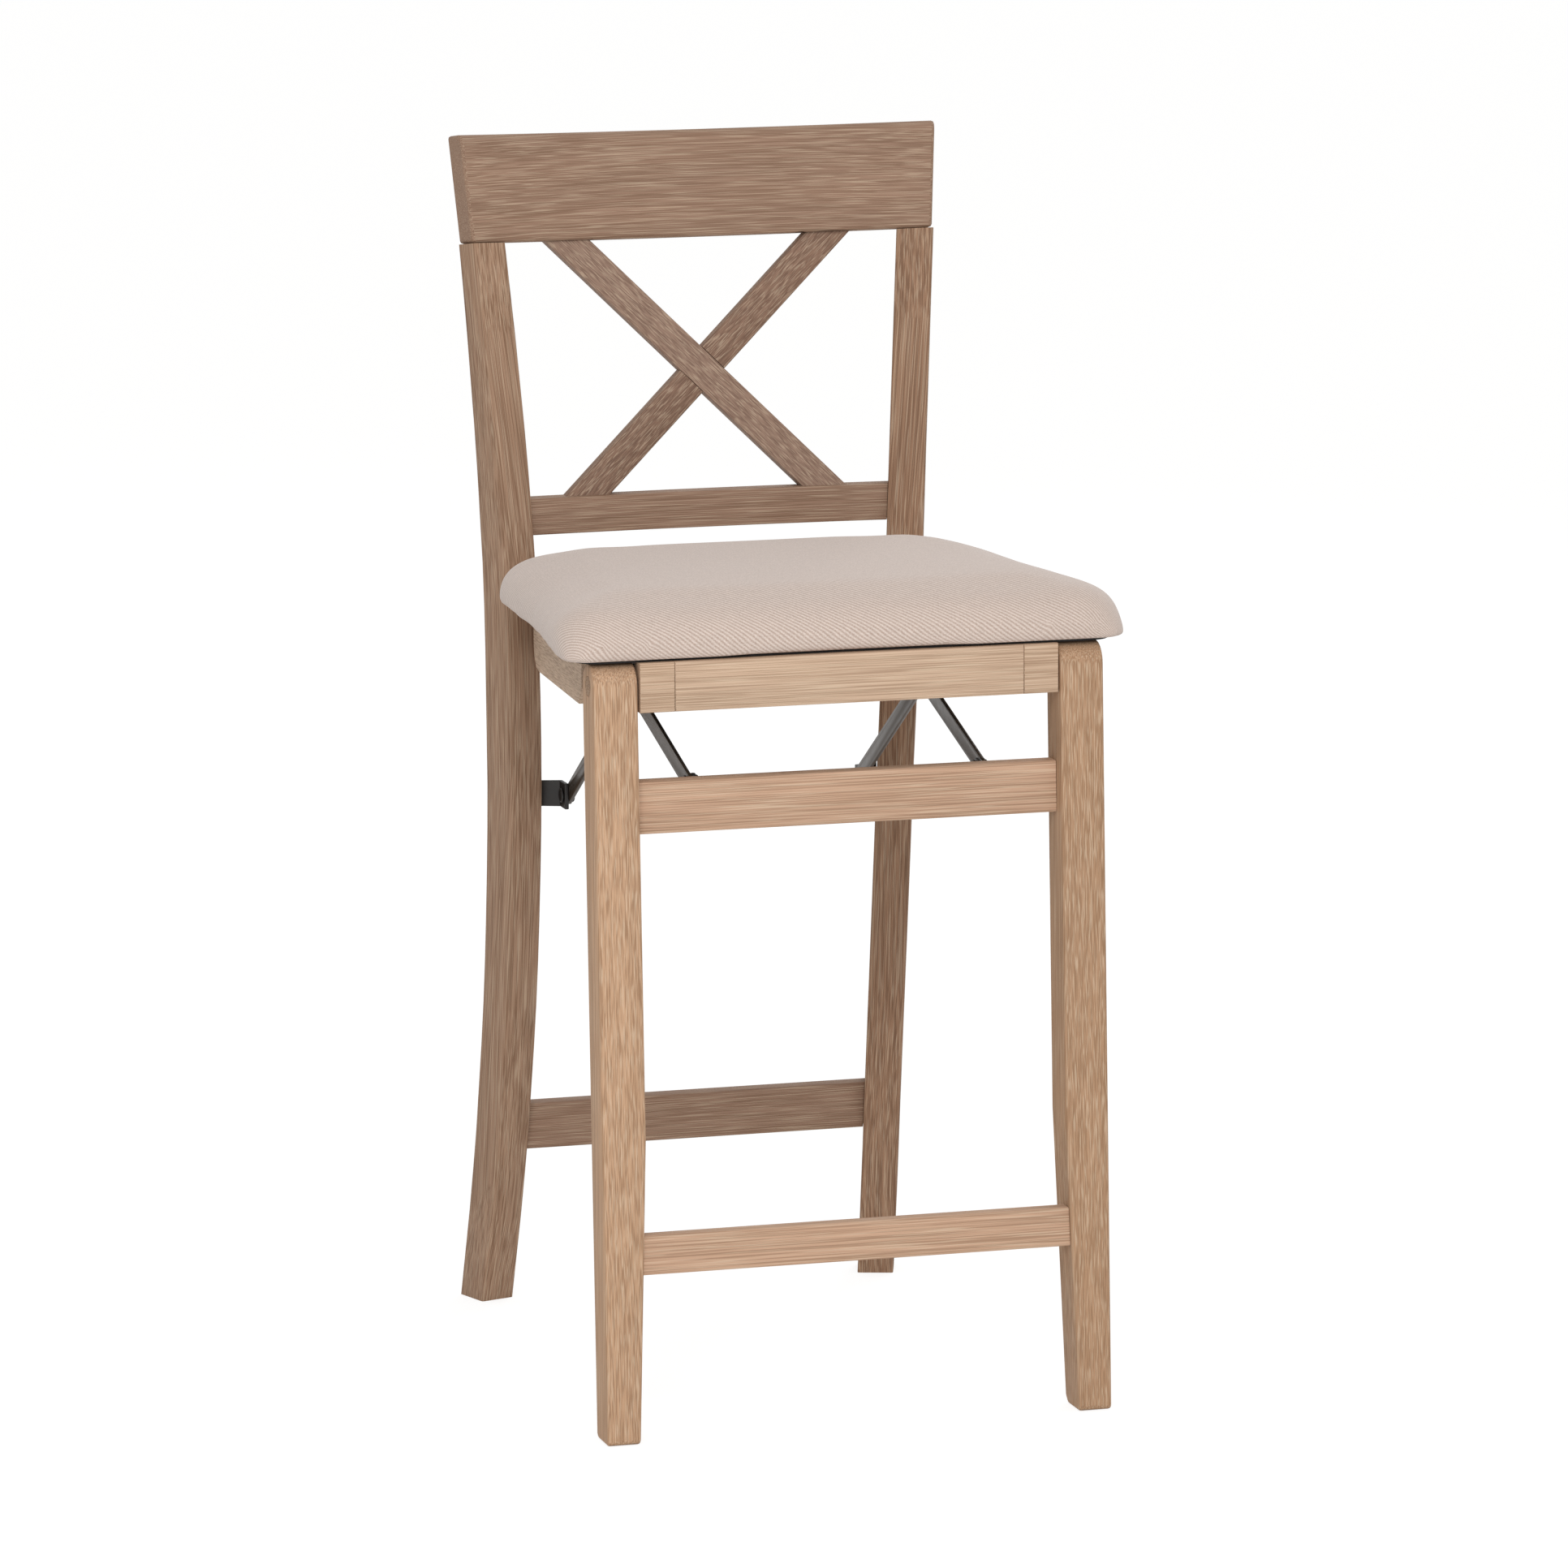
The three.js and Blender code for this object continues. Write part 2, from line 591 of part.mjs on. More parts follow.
// Crest rail: built upright with its lower front edge on the X axis, then tilted back and lifted into place
function crestRail() {
  const rings = [];
  for (let i = 0; i <= crestSteps; i++) {
    const share = (2 * i) / crestSteps - 1;
    // Front and back corner at a height; the board has one thickness, square to its bow
    const corners = (half, z) => {
      const front = new THREE.Vector2(share * half, crestBowDepth * (1 - share ** 2));
      const back = new THREE.Vector2(2 * crestBowDepth * share, half).setLength(crestThickness).add(front);
      return [[front.x, front.y, z], [back.x, back.y, z]];
    };
    rings.push([...corners(crestHalfBottom, 0), ...corners(crestHalfTop, crestHeight).reverse()]);
  }
  return loft(rings).rotateX(-crestTilt).translate(0, crestFootY, postHeight);
}

// Cross slats: a plane leans from the back rail up to the crest rail, and each slat is a strip in it
const slatFootZ = backRailTop - slatStubLength;
const slatHeadZ = postHeight + slatStubLength;
const slatEndShare = slatHalfBottom / backRailReach;
const slatFootY = postInnerFront(backRailTop - backRailHeight / 2).y + backRailSetback
  + backRailBowDepth * (1 - slatEndShare ** 2) + slatCoverThickness;
const slatTopShare = slatHalfTop / crestHalfBottom;
const crestBowAtSlat = crestBowDepth * (1 - slatTopShare ** 2);
const slatHeadY = crestFootY + crestBowAtSlat + (crestThickness - slatThickness) / 2;
const slatTilt = Math.atan2(slatHeadY - slatFootY, postHeight - backRailTop);
const slatRise = (slatHeadZ - slatFootZ) / Math.cos(slatTilt);
const slatSlope = Math.atan2(slatRise, slatHalfBottom + slatHalfTop);
const slatAcross = slatWidth / Math.sin(slatSlope); // its width, measured level

// From the upper left to the lower right; depths are measured forward from the back face of the slat
function slat(grow, depth0, depth1) {
  const half = slatAcross / 2 + grow / Math.sin(slatSlope);
  const step = (grow * (slatHalfBottom + slatHalfTop)) / slatRise;
  const shape = outline([
    [slatHalfBottom + step - half, -grow],
    [slatHalfBottom + step + half, -grow],
    [-slatHalfTop - step + half, slatRise + grow],
    [-slatHalfTop - step - half, slatRise + grow],
  ]);
  const geometry = new THREE.ExtrudeGeometry(shape, { depth: depth1 - depth0, bevelEnabled: false });
  const [s, c] = [Math.sin(slatTilt), Math.cos(slatTilt)];
  const back = new THREE.Vector2(slatFootY - slatStubLength * Math.tan(slatTilt), slatFootZ);
  const place = new THREE.Matrix4().set(
    1, 0, 0, 0,
    0, s, -c, back.x + slatThickness * c - depth0 * c,
    0, c, s, back.y - slatThickness * s + depth0 * s,
    0, 0, 0, 1);
  return geometry.applyMatrix4(place);
}

const slatBlank = slat(0, 0, slatThickness);
const slatSleeve = slat(joinGap, -joinGap, slatThickness + joinGap);
const lapDepth = slatThickness / 2;
const frontSlat = cut(slatBlank, mirrored(slat(joinGap, -overrun, lapDepth + joinGap / 2)));
const rearSlat = cut(mirrored(slatBlank), slat(joinGap, lapDepth - joinGap / 2, slatThickness + overrun));

// Dowels between the posts and the crest rail, square to its underside
function crestDowel(grow) {
  const corners = postCorners(postHeight);
  const [x, y] = [0, 1].map((k) => corners.reduce((sum, p) => sum + p[k], 0) / corners.length);
  const [radius, length] = [crestDowelRadius + grow, 2 * (crestDowelDepth + grow)];
  const geometry = new THREE.CylinderGeometry(radius, radius, length, roundSides);
  return geometry.rotateX(Math.PI / 2 - crestTilt).translate(x, y, crestUndersideZ(y));
}

const dowelHoles = [crestDowel(joinGap), mirrored(crestDowel(joinGap))];
add("crest_rail", cut(crestRail(), slatSleeve, mirrored(slatSleeve), ...dowelHoles), oakPost);
addPair("crest_dowel", crestDowel(0), oak);
add("cross_slat_front", frontSlat, oakPost);
add("cross_slat_rear", rearSlat, oakPost);

const lowRail = tenonedRail(lowRailAt, lowRailReach, railTenonShoulder, postShoulders);
add("low_rear_rail", lowRail, oakPost);
const backRail = tenonedRail(backRailAt, backRailReach, railTenonShoulder, postShoulders);
add("back_rail", cut(backRail, slatSleeve, mirrored(slatSleeve)), oakPost);

// Seat pivot brackets on the rear seat rail
const seatRailFront = postInnerFront(seatRailTop - seatRailHeight / 2).y + seatRailSetback;
const pivotArmOuter = sideRailInner - joinGap;
const pivotArmInner = pivotArmOuter - plateThickness;
const pivotFlangeBack = seatRailFront - joinGap;
const pivotFlangeFront = pivotFlangeBack - plateThickness;
const pivotFlangeInner = pivotArmOuter - pivotFlangeWidth;
const pivotFlangeLow = seatRailTop - (seatRailHeight + pivotFlangeHeight) / 2;
const pivotElbow = seatPivotBehind + pivotArmRunLength;

// The arm runs down from the pivot and then back, under the path of the cushion's rear edge
function seatPivotBracket() {
  const slope = Math.atan2(seatPivotHeight - pivotArmLevel, pivotArmRunLength);
  const arm = new THREE.Shape();
  arm.absarc(seatPivotBehind, seatPivotHeight, pivotArmHalf, Math.PI / 2 - slope,
    (3 * Math.PI) / 2 - slope, false);
  arm.absarc(pivotElbow, pivotArmLevel, pivotArmHalf, (3 * Math.PI) / 2 - slope, (3 * Math.PI) / 2, false);
  arm.lineTo(pivotFlangeBack, pivotArmLevel - pivotArmHalf);
  arm.lineTo(pivotFlangeBack, pivotArmLevel + pivotArmHalf);
  arm.lineTo(pivotElbow + pivotArmHalf * Math.tan(slope / 2), pivotArmLevel + pivotArmHalf);
  const flange = box(
    -pivotArmOuter, -pivotFlangeInner, pivotFlangeFront, pivotFlangeBack,
    Math.min(pivotFlangeLow, pivotArmLevel - pivotArmHalf), pivotFlangeLow + pivotFlangeHeight);
  return join(sidePlate(arm, -pivotArmOuter, -pivotArmInner), flange);
}

const pivotScrewX = -(pivotFlangeInner + screwEdge);
const pivotScrewHeights = [pivotFlangeLow + screwEdge, pivotFlangeLow + pivotFlangeHeight - screwEdge];
const pivotScrews = pivotScrewHeights.map((z) => [pivotScrewX, pivotFlangeFront - joinGap, z]);
const pivotScrew = ([x, y, z], drilled) => screwAlongY(x, y, z, drilled);
const pivotDrills = pivotScrews.map((at) => pivotScrew(at, true));
const pivotHole = rodAlongX(
  pivotBoltRadius + runGap, -pivotArmOuter - overrun, -pivotArmInner + overrun,
  seatPivotBehind, seatPivotHeight);
const seatRail = tenonedRail(seatRailAt, seatRailReach, railTenonShoulder, postShoulders);
add("rear_seat_rail", cut(seatRail, ...pivotDrills, ...pivotDrills.map(mirrored)), oakPost);
addPair("seat_pivot_bracket", cut(seatPivotBracket(), pivotHole, ...pivotDrills), darkSteel);
pivotScrews.forEach((at, i) => addPair("seat_pivot_screw_" + (i + 1), pivotScrew(at, false), brightSteel));

// Stay brackets on the inner faces of the posts: bent strips with an eye in front
const postArmInner = rearStayOuter + runGap;
const postArmOuter = postArmInner + plateThickness;
const postBend = postCorners(postPinHeight)[1];
const postAway = new THREE.Vector2(-Math.sin(postTurn), Math.cos(postTurn));
const postFacing = new THREE.Vector2(Math.cos(postTurn), Math.sin(postTurn));
// The post leans, so the flange keeps clear of it over its whole height
const postBracketLow = postPinHeight - postBracketHeight / 2;
const postBracketHigh = postPinHeight + postBracketHeight / 2;
const onInnerFace = (z) => {
  const [x, y] = postCorners(z)[1];
  return postFacing.dot(new THREE.Vector2(x - postBend[0], y - postBend[1]));
};
const postLeanReach = Math.max(onInnerFace(postBracketLow), onInnerFace(postBracketHigh), 0);

function postBracket() {
  const at = (back, out) => [
    postBend[0] + postAway.x * back + postFacing.x * out,
    postBend[1] + postAway.y * back + postFacing.y * out,
  ];
  const [nearFace, farFace] = [postLeanReach + joinGap, postLeanReach + joinGap + plateThickness];
  const start = 2 * plateThickness; // behind the post's front corner
  const armBack = at(start, nearFace)[1];
  const shape = outline([
    at(start + postBracketFlange, nearFace),
    at(start, nearFace),
    [-postArmOuter, armBack - 2 * plateThickness],
    [-postArmOuter, postPinBehind - bracketEyeRadius],
    [-postArmInner, postPinBehind - bracketEyeRadius],
    [-postArmInner, armBack - plateThickness],
    at(start, farFace),
    at(start + postBracketFlange, farFace),
  ]);
  return planPlate(shape, postBracketLow, postBracketHigh);
}

const postScrewOut = postLeanReach + 2 * joinGap + plateThickness;
const postScrewBack = 2 * plateThickness + postBracketFlange - screwEdge - plateThickness;
const postScrewX = postBend[0] + postAway.x * postScrewBack + postFacing.x * postScrewOut;
const postScrewY = postBend[1] + postAway.y * postScrewBack + postFacing.y * postScrewOut;
const postScrew = (drilled) =>
  screwAt(0, 0, 0, postTurn - Math.PI / 2, drilled).translate(postScrewX, postScrewY, postPinHeight);
const postPinHole = rodAlongX(
  rivetRadius + runGap, -postArmOuter - overrun, -postArmInner + overrun, postPinBehind, postPinHeight);
addPair("post_bracket", cut(postBracket(), postPinHole, postScrew(true)), darkSteel);
addPair("post_bracket_screw", postScrew(false), brightSteel);

const leftPost = cut(
  rearPost(0),
  lowRailAt(lowRailReach + joinGap, mortiseInset),
  backRailAt(backRailReach + joinGap, mortiseInset),
  seatRailAt(seatRailReach + joinGap, mortiseInset),
  dowelHoles[0],
  postScrew(true),
);
addPair("rear_post", leftPost, oakPost);

// Stays: a bar with round ends and a hole at each
function stay(from, to, fromEye, toEye, fromHole, toHole, x0, x1) {
  const [dy, dz] = [to[0] - from[0], to[1] - from[1]];
  const length = Math.hypot(dy, dz);
  const half = stayWidth / 2;
  const shape = new THREE.Shape();
  const [a, b] = [Math.asin(half / fromEye), Math.asin(half / toEye)];
  shape.absarc(0, 0, fromEye, a, 2 * Math.PI - a, false);
  shape.absarc(length, 0, toEye, Math.PI + b, 3 * Math.PI - b, false);
  const bar = new THREE.ExtrudeGeometry(shape, { depth: x1 - x0, bevelEnabled: false, curveSegments: 8 });
  const turn = new THREE.Matrix4().set(
    0, 0, 1, x0,
    dy / length, -dz / length, 0, from[0],
    dz / length, dy / length, 0, from[1],
    0, 0, 0, 1);
  bar.applyMatrix4(turn);
  return cut(
    bar,
    rodAlongX(fromHole, x0 - overrun, x1 + overrun, ...from),
    rodAlongX(toHole, x0 - overrun, x1 + overrun, ...to));
}

const knee = [kneeBehind, kneeHeight];
const postPin = [postPinBehind, postPinHeight];
const railPin = [railPinDepth, railPinHeight];
const stayEye = stayWidth / 2 + joinGap;
const pinHole = rivetRadius + runGap;
const frontStayInner = frontStayOuter - stayThickness;
const rearStayInner = rearStayOuter - stayThickness;
addPair(
  "rear_stay",
  stay(postPin, knee, stayEye, stayEye, pinHole, pinHole, -rearStayOuter, -rearStayInner),
  darkSteel);
addPair(
  "front_stay",
  stay(railPin, knee, stayEye, kneeEyeRadius, pinHole, rivetRadius + kneePlayGap,
    -frontStayOuter, -frontStayInner),
  darkSteel);

// A rivet with a head on both sides; outer and inner are the faces that it holds together
function rivet(outer, inner, headRadius, [y, z]) {
  const [a, b] = [-outer - runGap, -inner + runGap];
  return turnedAlongX([
    [a - rivetHeadThickness, 0],
    [a - rivetHeadThickness, headRadius],
    [a, headRadius],
    [a, rivetRadius],
    [b, rivetRadius],
    [b, headRadius],
    [b + rivetHeadThickness, headRadius],
    [b + rivetHeadThickness, 0],
  ], y, z);
}

addPair("post_rivet", rivet(postArmOuter, rearStayInner, rivetHeadRadius, postPin), brightSteel);
addPair("knee_rivet", rivet(rearStayOuter, frontStayInner, kneeHeadRadius, knee), brightSteel);
addPair("upper_rail_rivet", rivet(frontStayOuter, railArmInner, rivetHeadRadius, railPin), brightSteel);

// Seat frame

const blockInner = blockOuter - blockWidth;
const frameFront = -legDepth / 2; // flush with the front legs at the hinge
const frontRailLow = seatFrameTop - frontRailHeight;
const nutInner = blockInner + joinGap; // the nut is sunk into the inner face of the block
const nutOuter = nutInner + nutThickness;
const hingeHole = rodAlongX(
  hingeBoltRadius + joinGap, -blockOuter - overrun, -blockInner + overrun, 0, hingeHeight);
const nutPocket = rodAlongX(
  nutRadius + joinGap, -nutOuter - joinGap, -blockInner + overrun, 0, hingeHeight);
const block = box(
  -blockOuter, -blockInner, frameFront, frameFront + blockLength, frontRailLow, seatFrameTop);
addPair("seat_block", cut(block, hingeHole, nutPocket), oak);
const frontRailReach = blockInner - joinGap;
add(
  "seat_front_rail",
  box(-frontRailReach, frontRailReach, frameFront, frameFront + frontRailThickness,
    frontRailLow, seatFrameTop),
  oak);

// Side rail: seen from above it narrows to the back; its inner face is square to the pivot
function sideRail() {
  const low = seatFrameTop - sideRailHeight;
  const side = new THREE.Shape();
  side.moveTo(sideRailStart, seatFrameTop);
  side.lineTo(sideRailStart, low + sideRailNoseCut);
  side.lineTo(sideRailStart + sideRailNoseCut, low);
  side.lineTo(sideRailEnd - sideRailTailRadius, low);
  side.absarc(sideRailEnd - sideRailTailRadius, low + sideRailTailRadius, sideRailTailRadius,
    -Math.PI / 2, 0, false);
  side.lineTo(sideRailEnd, seatFrameTop);
  const blank = sidePlate(side, -blockOuter, -sideRailInner, 6);
  const wedge = outline([
    [-blockOuter, sideRailStart],
    [-sideRailInner - sideRailRearWidth, sideRailEnd],
    [-sideRailInner - sideRailRearWidth, sideRailEnd + overrun],
    [-blockOuter - overrun, sideRailEnd + overrun],
    [-blockOuter - overrun, sideRailStart],
  ]);
  return cut(blank, planPlate(wedge, low - overrun, seatFrameTop + overrun));
}

const pivotTip = sideRailInner + pivotBoltBiteLength;
const pivotBore = rodAlongX(
  pivotBoltRadius + joinGap, -pivotTip - joinGap, -sideRailInner + overrun,
  seatPivotBehind, seatPivotHeight);
addPair("seat_side_rail", cut(sideRail(), pivotBore), oak);
const pivotHeadBase = -pivotArmInner + runGap;
addPair("seat_pivot_bolt", turnedAlongX([
  [-pivotTip, 0],
  [-pivotTip, pivotBoltRadius],
  [pivotHeadBase, pivotBoltRadius],
  [pivotHeadBase, pivotHeadRadius],
  [pivotHeadBase + pivotHeadThickness, pivotHeadRadius],
  [pivotHeadBase + pivotHeadThickness, 0],
], seatPivotBehind, seatPivotHeight), brightSteel);

// Front hinge: bolt, washer and nut
addPair("hinge_bolt", turnedAlongX([
  [-boltHeadOut, 0],
  [-boltHeadOut, hingeHeadRadius],
  [-boltHeadIn, hingeHeadRadius],
  [-boltHeadIn, hingeBoltRadius],
  [-nutInner, hingeBoltRadius],
  [-nutInner, 0],
], 0, hingeHeight), brightSteel);
const washer = rodAlongX(washerRadius, -legInner + runGap, -blockOuter - runGap, 0, hingeHeight);
addPair("hinge_washer", cut(washer, hingeHole), nylon);
const nutBlank = new THREE.CylinderGeometry(nutRadius, nutRadius, nutThickness, 6).rotateZ(Math.PI / 2);
nutBlank.translate(-nutOuter + nutThickness / 2, 0, hingeHeight);
addPair("hinge_nut", cut(nutBlank, hingeHole), brightSteel);

// Dust cover, seat board and cushion share one outline: a trapezoid with round corners and drawn-in sides
function seatOutline(inset, cornerShare = 1) {
  const [front, rear] = [cushionFront + inset, cushionRear - inset];
  const [halfFront, halfRear] = [cushionFrontWidth / 2 - inset, cushionRearWidth / 2 - inset];
  const corners = [
    [-halfFront, front, cushionFrontRadius],
    [halfFront, front, cushionFrontRadius],
    [halfRear, rear, cushionRearRadius],
    [-halfRear, rear, cushionRearRadius],
  ];
  const points = [];
  corners.forEach(([x, y, fullRadius], i) => {
    const radius = Math.max(fullRadius - inset, fullRadius * leastCornerShare) * cornerShare;
    const before = corners[(i + 3) % 4];
    const after = corners[(i + 1) % 4];
    const toBefore = new THREE.Vector2(before[0] - x, before[1] - y).normalize();
    const toAfter = new THREE.Vector2(after[0] - x, after[1] - y).normalize();
    const half = toBefore.angleTo(toAfter) / 2;
    const reach = radius / Math.tan(half);
    const inward = toBefore.clone().add(toAfter).normalize();
    const centre = new THREE.Vector2(x, y).addScaledVector(inward, radius / Math.sin(half));
    const start = new THREE.Vector2(x, y).addScaledVector(toBefore, reach).sub(centre);
    const sweep = Math.PI - 2 * half;
    const origin = new THREE.Vector2();
    for (let k = 0; k <= seatCornerSteps; k++) {
      points.push(start.clone().rotateAround(origin, (sweep * k) / seatCornerSteps).add(centre));
    }
  });
  const count = seatCornerSteps + 1;
  const full = [];
  for (let c = 0; c < 4; c++) {
    full.push(...points.slice(c * count, (c + 1) * count));
    const from = points[(c + 1) * count - 1];
    const to = points[((c + 1) * count) % points.length];
    const along = to.clone().sub(from);
    const inward = new THREE.Vector2(-along.y, along.x).normalize();
    for (let k = 1; k < seatSideSteps; k++) {
      const t = k / seatSideSteps;
      const pull = cushionDrawInDepth * Math.sin(Math.PI * t) ** 2;
      full.push(from.clone().addScaledVector(along, t).addScaledVector(inward, pull));
    }
  }
  return full;
}

const ringAt = (inset, z, cornerShare) => seatOutline(inset, cornerShare).map((p) => [p.x, p.y, z]);
const dustCoverRings = [dustCoverLow, dustCoverLow + dustCoverThickness].map((z) =>
  ringAt(dustCoverInset, z, dustCornerShare));
add("dust_cover", loft(dustCoverRings), blackCloth);
add("seat_board", loft([ringAt(boardInset, boardLow), ringAt(boardInset, boardTop)]), plywood);

// The cushion wraps the board: a recess for it below, a rounded edge, and a crown above
function cushion() {
  const recess = boardInset - joinGap;
  const rings = [ringAt(recess, boardTop + joinGap), ringAt(recess, boardLow)];
  for (const [inShare, upShare, cornerShare] of cushionEdgeShares) {
    rings.push(ringAt(inShare * cushionRollWidth, boardLow + upShare * cushionThickness, cornerShare));
  }
  const crownReach = (cushionLength / 2) * cushionCrownShare;
  rings.push(ringAt(cushionRollWidth + crownReach / 2, boardLow + cushionThickness * 0.985));
  rings.push(ringAt(cushionRollWidth + crownReach, boardLow + cushionThickness));
  return loft(rings);
}

add("cushion", cushion(), linen);

// Centre the footprint on the origin
const bounds = new THREE.Box3().setFromObject(stool);
stool.position.y = -(bounds.min.y + bounds.max.y) / 2;

export default stool;
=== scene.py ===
import math

import bpy
import numpy as np
from mathutils import Matrix, Vector


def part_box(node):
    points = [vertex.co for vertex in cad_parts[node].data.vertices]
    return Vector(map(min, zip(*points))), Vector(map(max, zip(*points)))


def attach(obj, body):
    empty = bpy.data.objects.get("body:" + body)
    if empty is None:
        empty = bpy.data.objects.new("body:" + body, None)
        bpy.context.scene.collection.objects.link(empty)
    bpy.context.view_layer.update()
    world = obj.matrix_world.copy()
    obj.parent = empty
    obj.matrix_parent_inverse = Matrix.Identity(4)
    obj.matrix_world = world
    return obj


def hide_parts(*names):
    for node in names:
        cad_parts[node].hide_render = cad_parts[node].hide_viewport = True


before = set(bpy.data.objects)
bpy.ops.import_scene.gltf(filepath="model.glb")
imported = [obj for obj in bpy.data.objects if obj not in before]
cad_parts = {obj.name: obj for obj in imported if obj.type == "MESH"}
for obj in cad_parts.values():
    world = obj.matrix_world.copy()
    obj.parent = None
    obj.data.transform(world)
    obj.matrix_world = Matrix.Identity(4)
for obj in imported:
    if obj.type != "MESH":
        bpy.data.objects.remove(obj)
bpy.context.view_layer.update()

MM = 0.001
SIDES = ("left", "right")


# Front legs: solid oak, half-round at the top where they turn on the seat frame, tapered at the foot.
# Sawn from straight boards, wire-brushed along the grain and limed, then eased at the edges with sandpaper.
# The brushing leaves fine furrows, and the lime shows in them as short pale streaks.
LEG_EDGE = 2.2 * MM  # radius that the sanding leaves
BORE_MARGIN = 1 * MM  # past the plug's edge, within which the bore's rims stay sharp
WELD = 0.002 * MM  # corners nearer than this are one
FLAT_ANGLE = math.radians(0.5)  # faces that meet at less than this are one
SMOOTH_ANGLE = math.radians(32)  # faces that meet at less than this are shaded as one
FACING = 0.7  # cosine within which a face counts as looking one way
RUNNING = 0.9  # cosine within which an edge counts as running one way

FURROW_WIDTH = 0.85 * MM  # half the way from one brushed furrow to the next
FURROW_LENGTH = 125 * MM
FURROW_LEVELS = (0.34, 0.62)  # of the noise, from the floor of a furrow to the ridge beside it
FURROW_DEPTH = 0.25 * MM
PORE_WIDTH = 0.7 * MM  # real pores are finer, so these are as coarse as the picture needs
PORE_LENGTH = 55 * MM
PORE_LEVELS = (0.5, 0.66)  # of the noise, from bare wood to a pore full of lime
BOARD_WIDTH = 30 * MM  # the tone drifts over about this distance
BOARD_LENGTH = 260 * MM
BOARD_TONES = (0.94, 1.05)
NOISE_LEVELS = (0.3, 0.7)  # between which nearly all of a noise lies

OAK_LEG = {"left": ("#BF9A7B", "#9F7C5F"), "right": ("#AE8A6C", "#987659")}  # ridges, and furrows
OAK_LIME = "#DCC6AC"
OAK_ROUGHNESS = (0.6, 0.76)
COLOUR_A, COLOUR_B, COLOUR_MIXED = 6, 7, 2  # sockets of a Mix node that mixes colours


def linear(hex_colour):
    """An sRGB hex colour as the linear RGBA that a shader socket takes."""
    parts = [int(hex_colour[i:i + 2], 16) / 255 for i in (1, 3, 5)]
    return [c / 12.92 if c <= 0.04045 else ((c + 0.055) / 1.055) ** 2.4 for c in parts] + [1.0]


def add_node(tree, kind, settings=None, inputs=None):
    """Adds a node with its settings, and sets or links its inputs, named or numbered."""
    made = tree.nodes.new(kind)
    for key, value in (settings or {}).items():
        setattr(made, key, value)
    for key, value in (inputs or {}).items():
        if isinstance(value, bpy.types.NodeSocket):
            tree.links.new(value, made.inputs[key])
        else:
            made.inputs[key].default_value = value
    return made


def new_material(name):
    """An empty node material: its tree, and the shader that feeds its output."""
    material = bpy.data.materials.new(name)
    material.use_nodes = True
    tree = material.node_tree
    tree.nodes.clear()
    shader = add_node(tree, "ShaderNodeBsdfPrincipled")
    add_node(tree, "ShaderNodeOutputMaterial", inputs={"Surface": shader.outputs[0]})
    return material, tree, shader


def limed_oak(name, tone, dark, turn=(0, 0, 0), shift=(0, 0, 0), bent=False, lime=0.4, coarse=1.0):
    """Oak whose grain runs along Z, turned by turn. A bent piece has its own grain attribute.

    Lime is how much of it the pores hold, and coarse widens and lengthens the grain."""
    material, tree, shader = new_material(name)
    if bent:
        place = add_node(tree, "ShaderNodeAttribute", {"attribute_name": "grain"}).outputs["Vector"]
    else:
        place = add_node(tree, "ShaderNodeTexCoord").outputs["Object"]

    def grain_noise(width, length, detail, roughness, distortion=0.0):
        """Noise drawn out along the grain."""
        size = (width * coarse, width * coarse, length * coarse)
        stretched = add_node(tree, "ShaderNodeMapping", {"vector_type": "TEXTURE"}, {
            "Vector": place, "Rotation": turn, "Location": shift, "Scale": size})
        return add_node(tree, "ShaderNodeTexNoise", inputs={
            "Vector": stretched.outputs[0], "Scale": 1.0, "Detail": detail, "Roughness": roughness,
            "Distortion": distortion}).outputs[0]

    drift = grain_noise(BOARD_WIDTH, BOARD_LENGTH, 2.0, 0.5)
    furrow = grain_noise(FURROW_WIDTH, FURROW_LENGTH, 1.0, 0.4, 0.12)
    pore = grain_noise(PORE_WIDTH, PORE_LENGTH, 1.0, 0.5)
    ridge = add_node(tree, "ShaderNodeMapRange", {"interpolation_type": "SMOOTHSTEP"}, {
        "Value": furrow, "From Min": FURROW_LEVELS[0], "From Max": FURROW_LEVELS[1]})
    pore_depth = add_node(tree, "ShaderNodeMapRange", {"interpolation_type": "SMOOTHSTEP"}, {
        "Value": pore, "From Min": PORE_LEVELS[0], "From Max": PORE_LEVELS[1], "To Max": lime})
    wood = add_node(tree, "ShaderNodeMix", {"data_type": "RGBA"}, {
        "Factor": ridge.outputs[0], COLOUR_A: linear(dark), COLOUR_B: linear(tone)})
    drift_value = add_node(tree, "ShaderNodeMapRange", inputs={
        "Value": drift, "From Min": NOISE_LEVELS[0], "From Max": NOISE_LEVELS[1],
        "To Min": BOARD_TONES[0], "To Max": BOARD_TONES[1]})
    board = add_node(tree, "ShaderNodeHueSaturation", inputs={
        "Color": wood.outputs[COLOUR_MIXED], "Value": drift_value.outputs[0]})
    limed = add_node(tree, "ShaderNodeMix", {"data_type": "RGBA"}, {
        "Factor": pore_depth.outputs[0], COLOUR_A: board.outputs[0], COLOUR_B: linear(OAK_LIME)})
    tree.links.new(limed.outputs[COLOUR_MIXED], shader.inputs["Base Color"])
    rough = add_node(tree, "ShaderNodeMapRange", inputs={
        "Value": furrow, "To Min": OAK_ROUGHNESS[0], "To Max": OAK_ROUGHNESS[1]})
    tree.links.new(rough.outputs[0], shader.inputs["Roughness"])
    shader.inputs["IOR"].default_value = 1.46
    shader.inputs["Specular IOR Level"].default_value = 0.35
    bump = add_node(tree, "ShaderNodeBump", inputs={
        "Height": ridge.outputs[0], "Strength": 0.5, "Distance": FURROW_DEPTH})
    tree.links.new(bump.outputs[0], shader.inputs["Normal"])
    return material


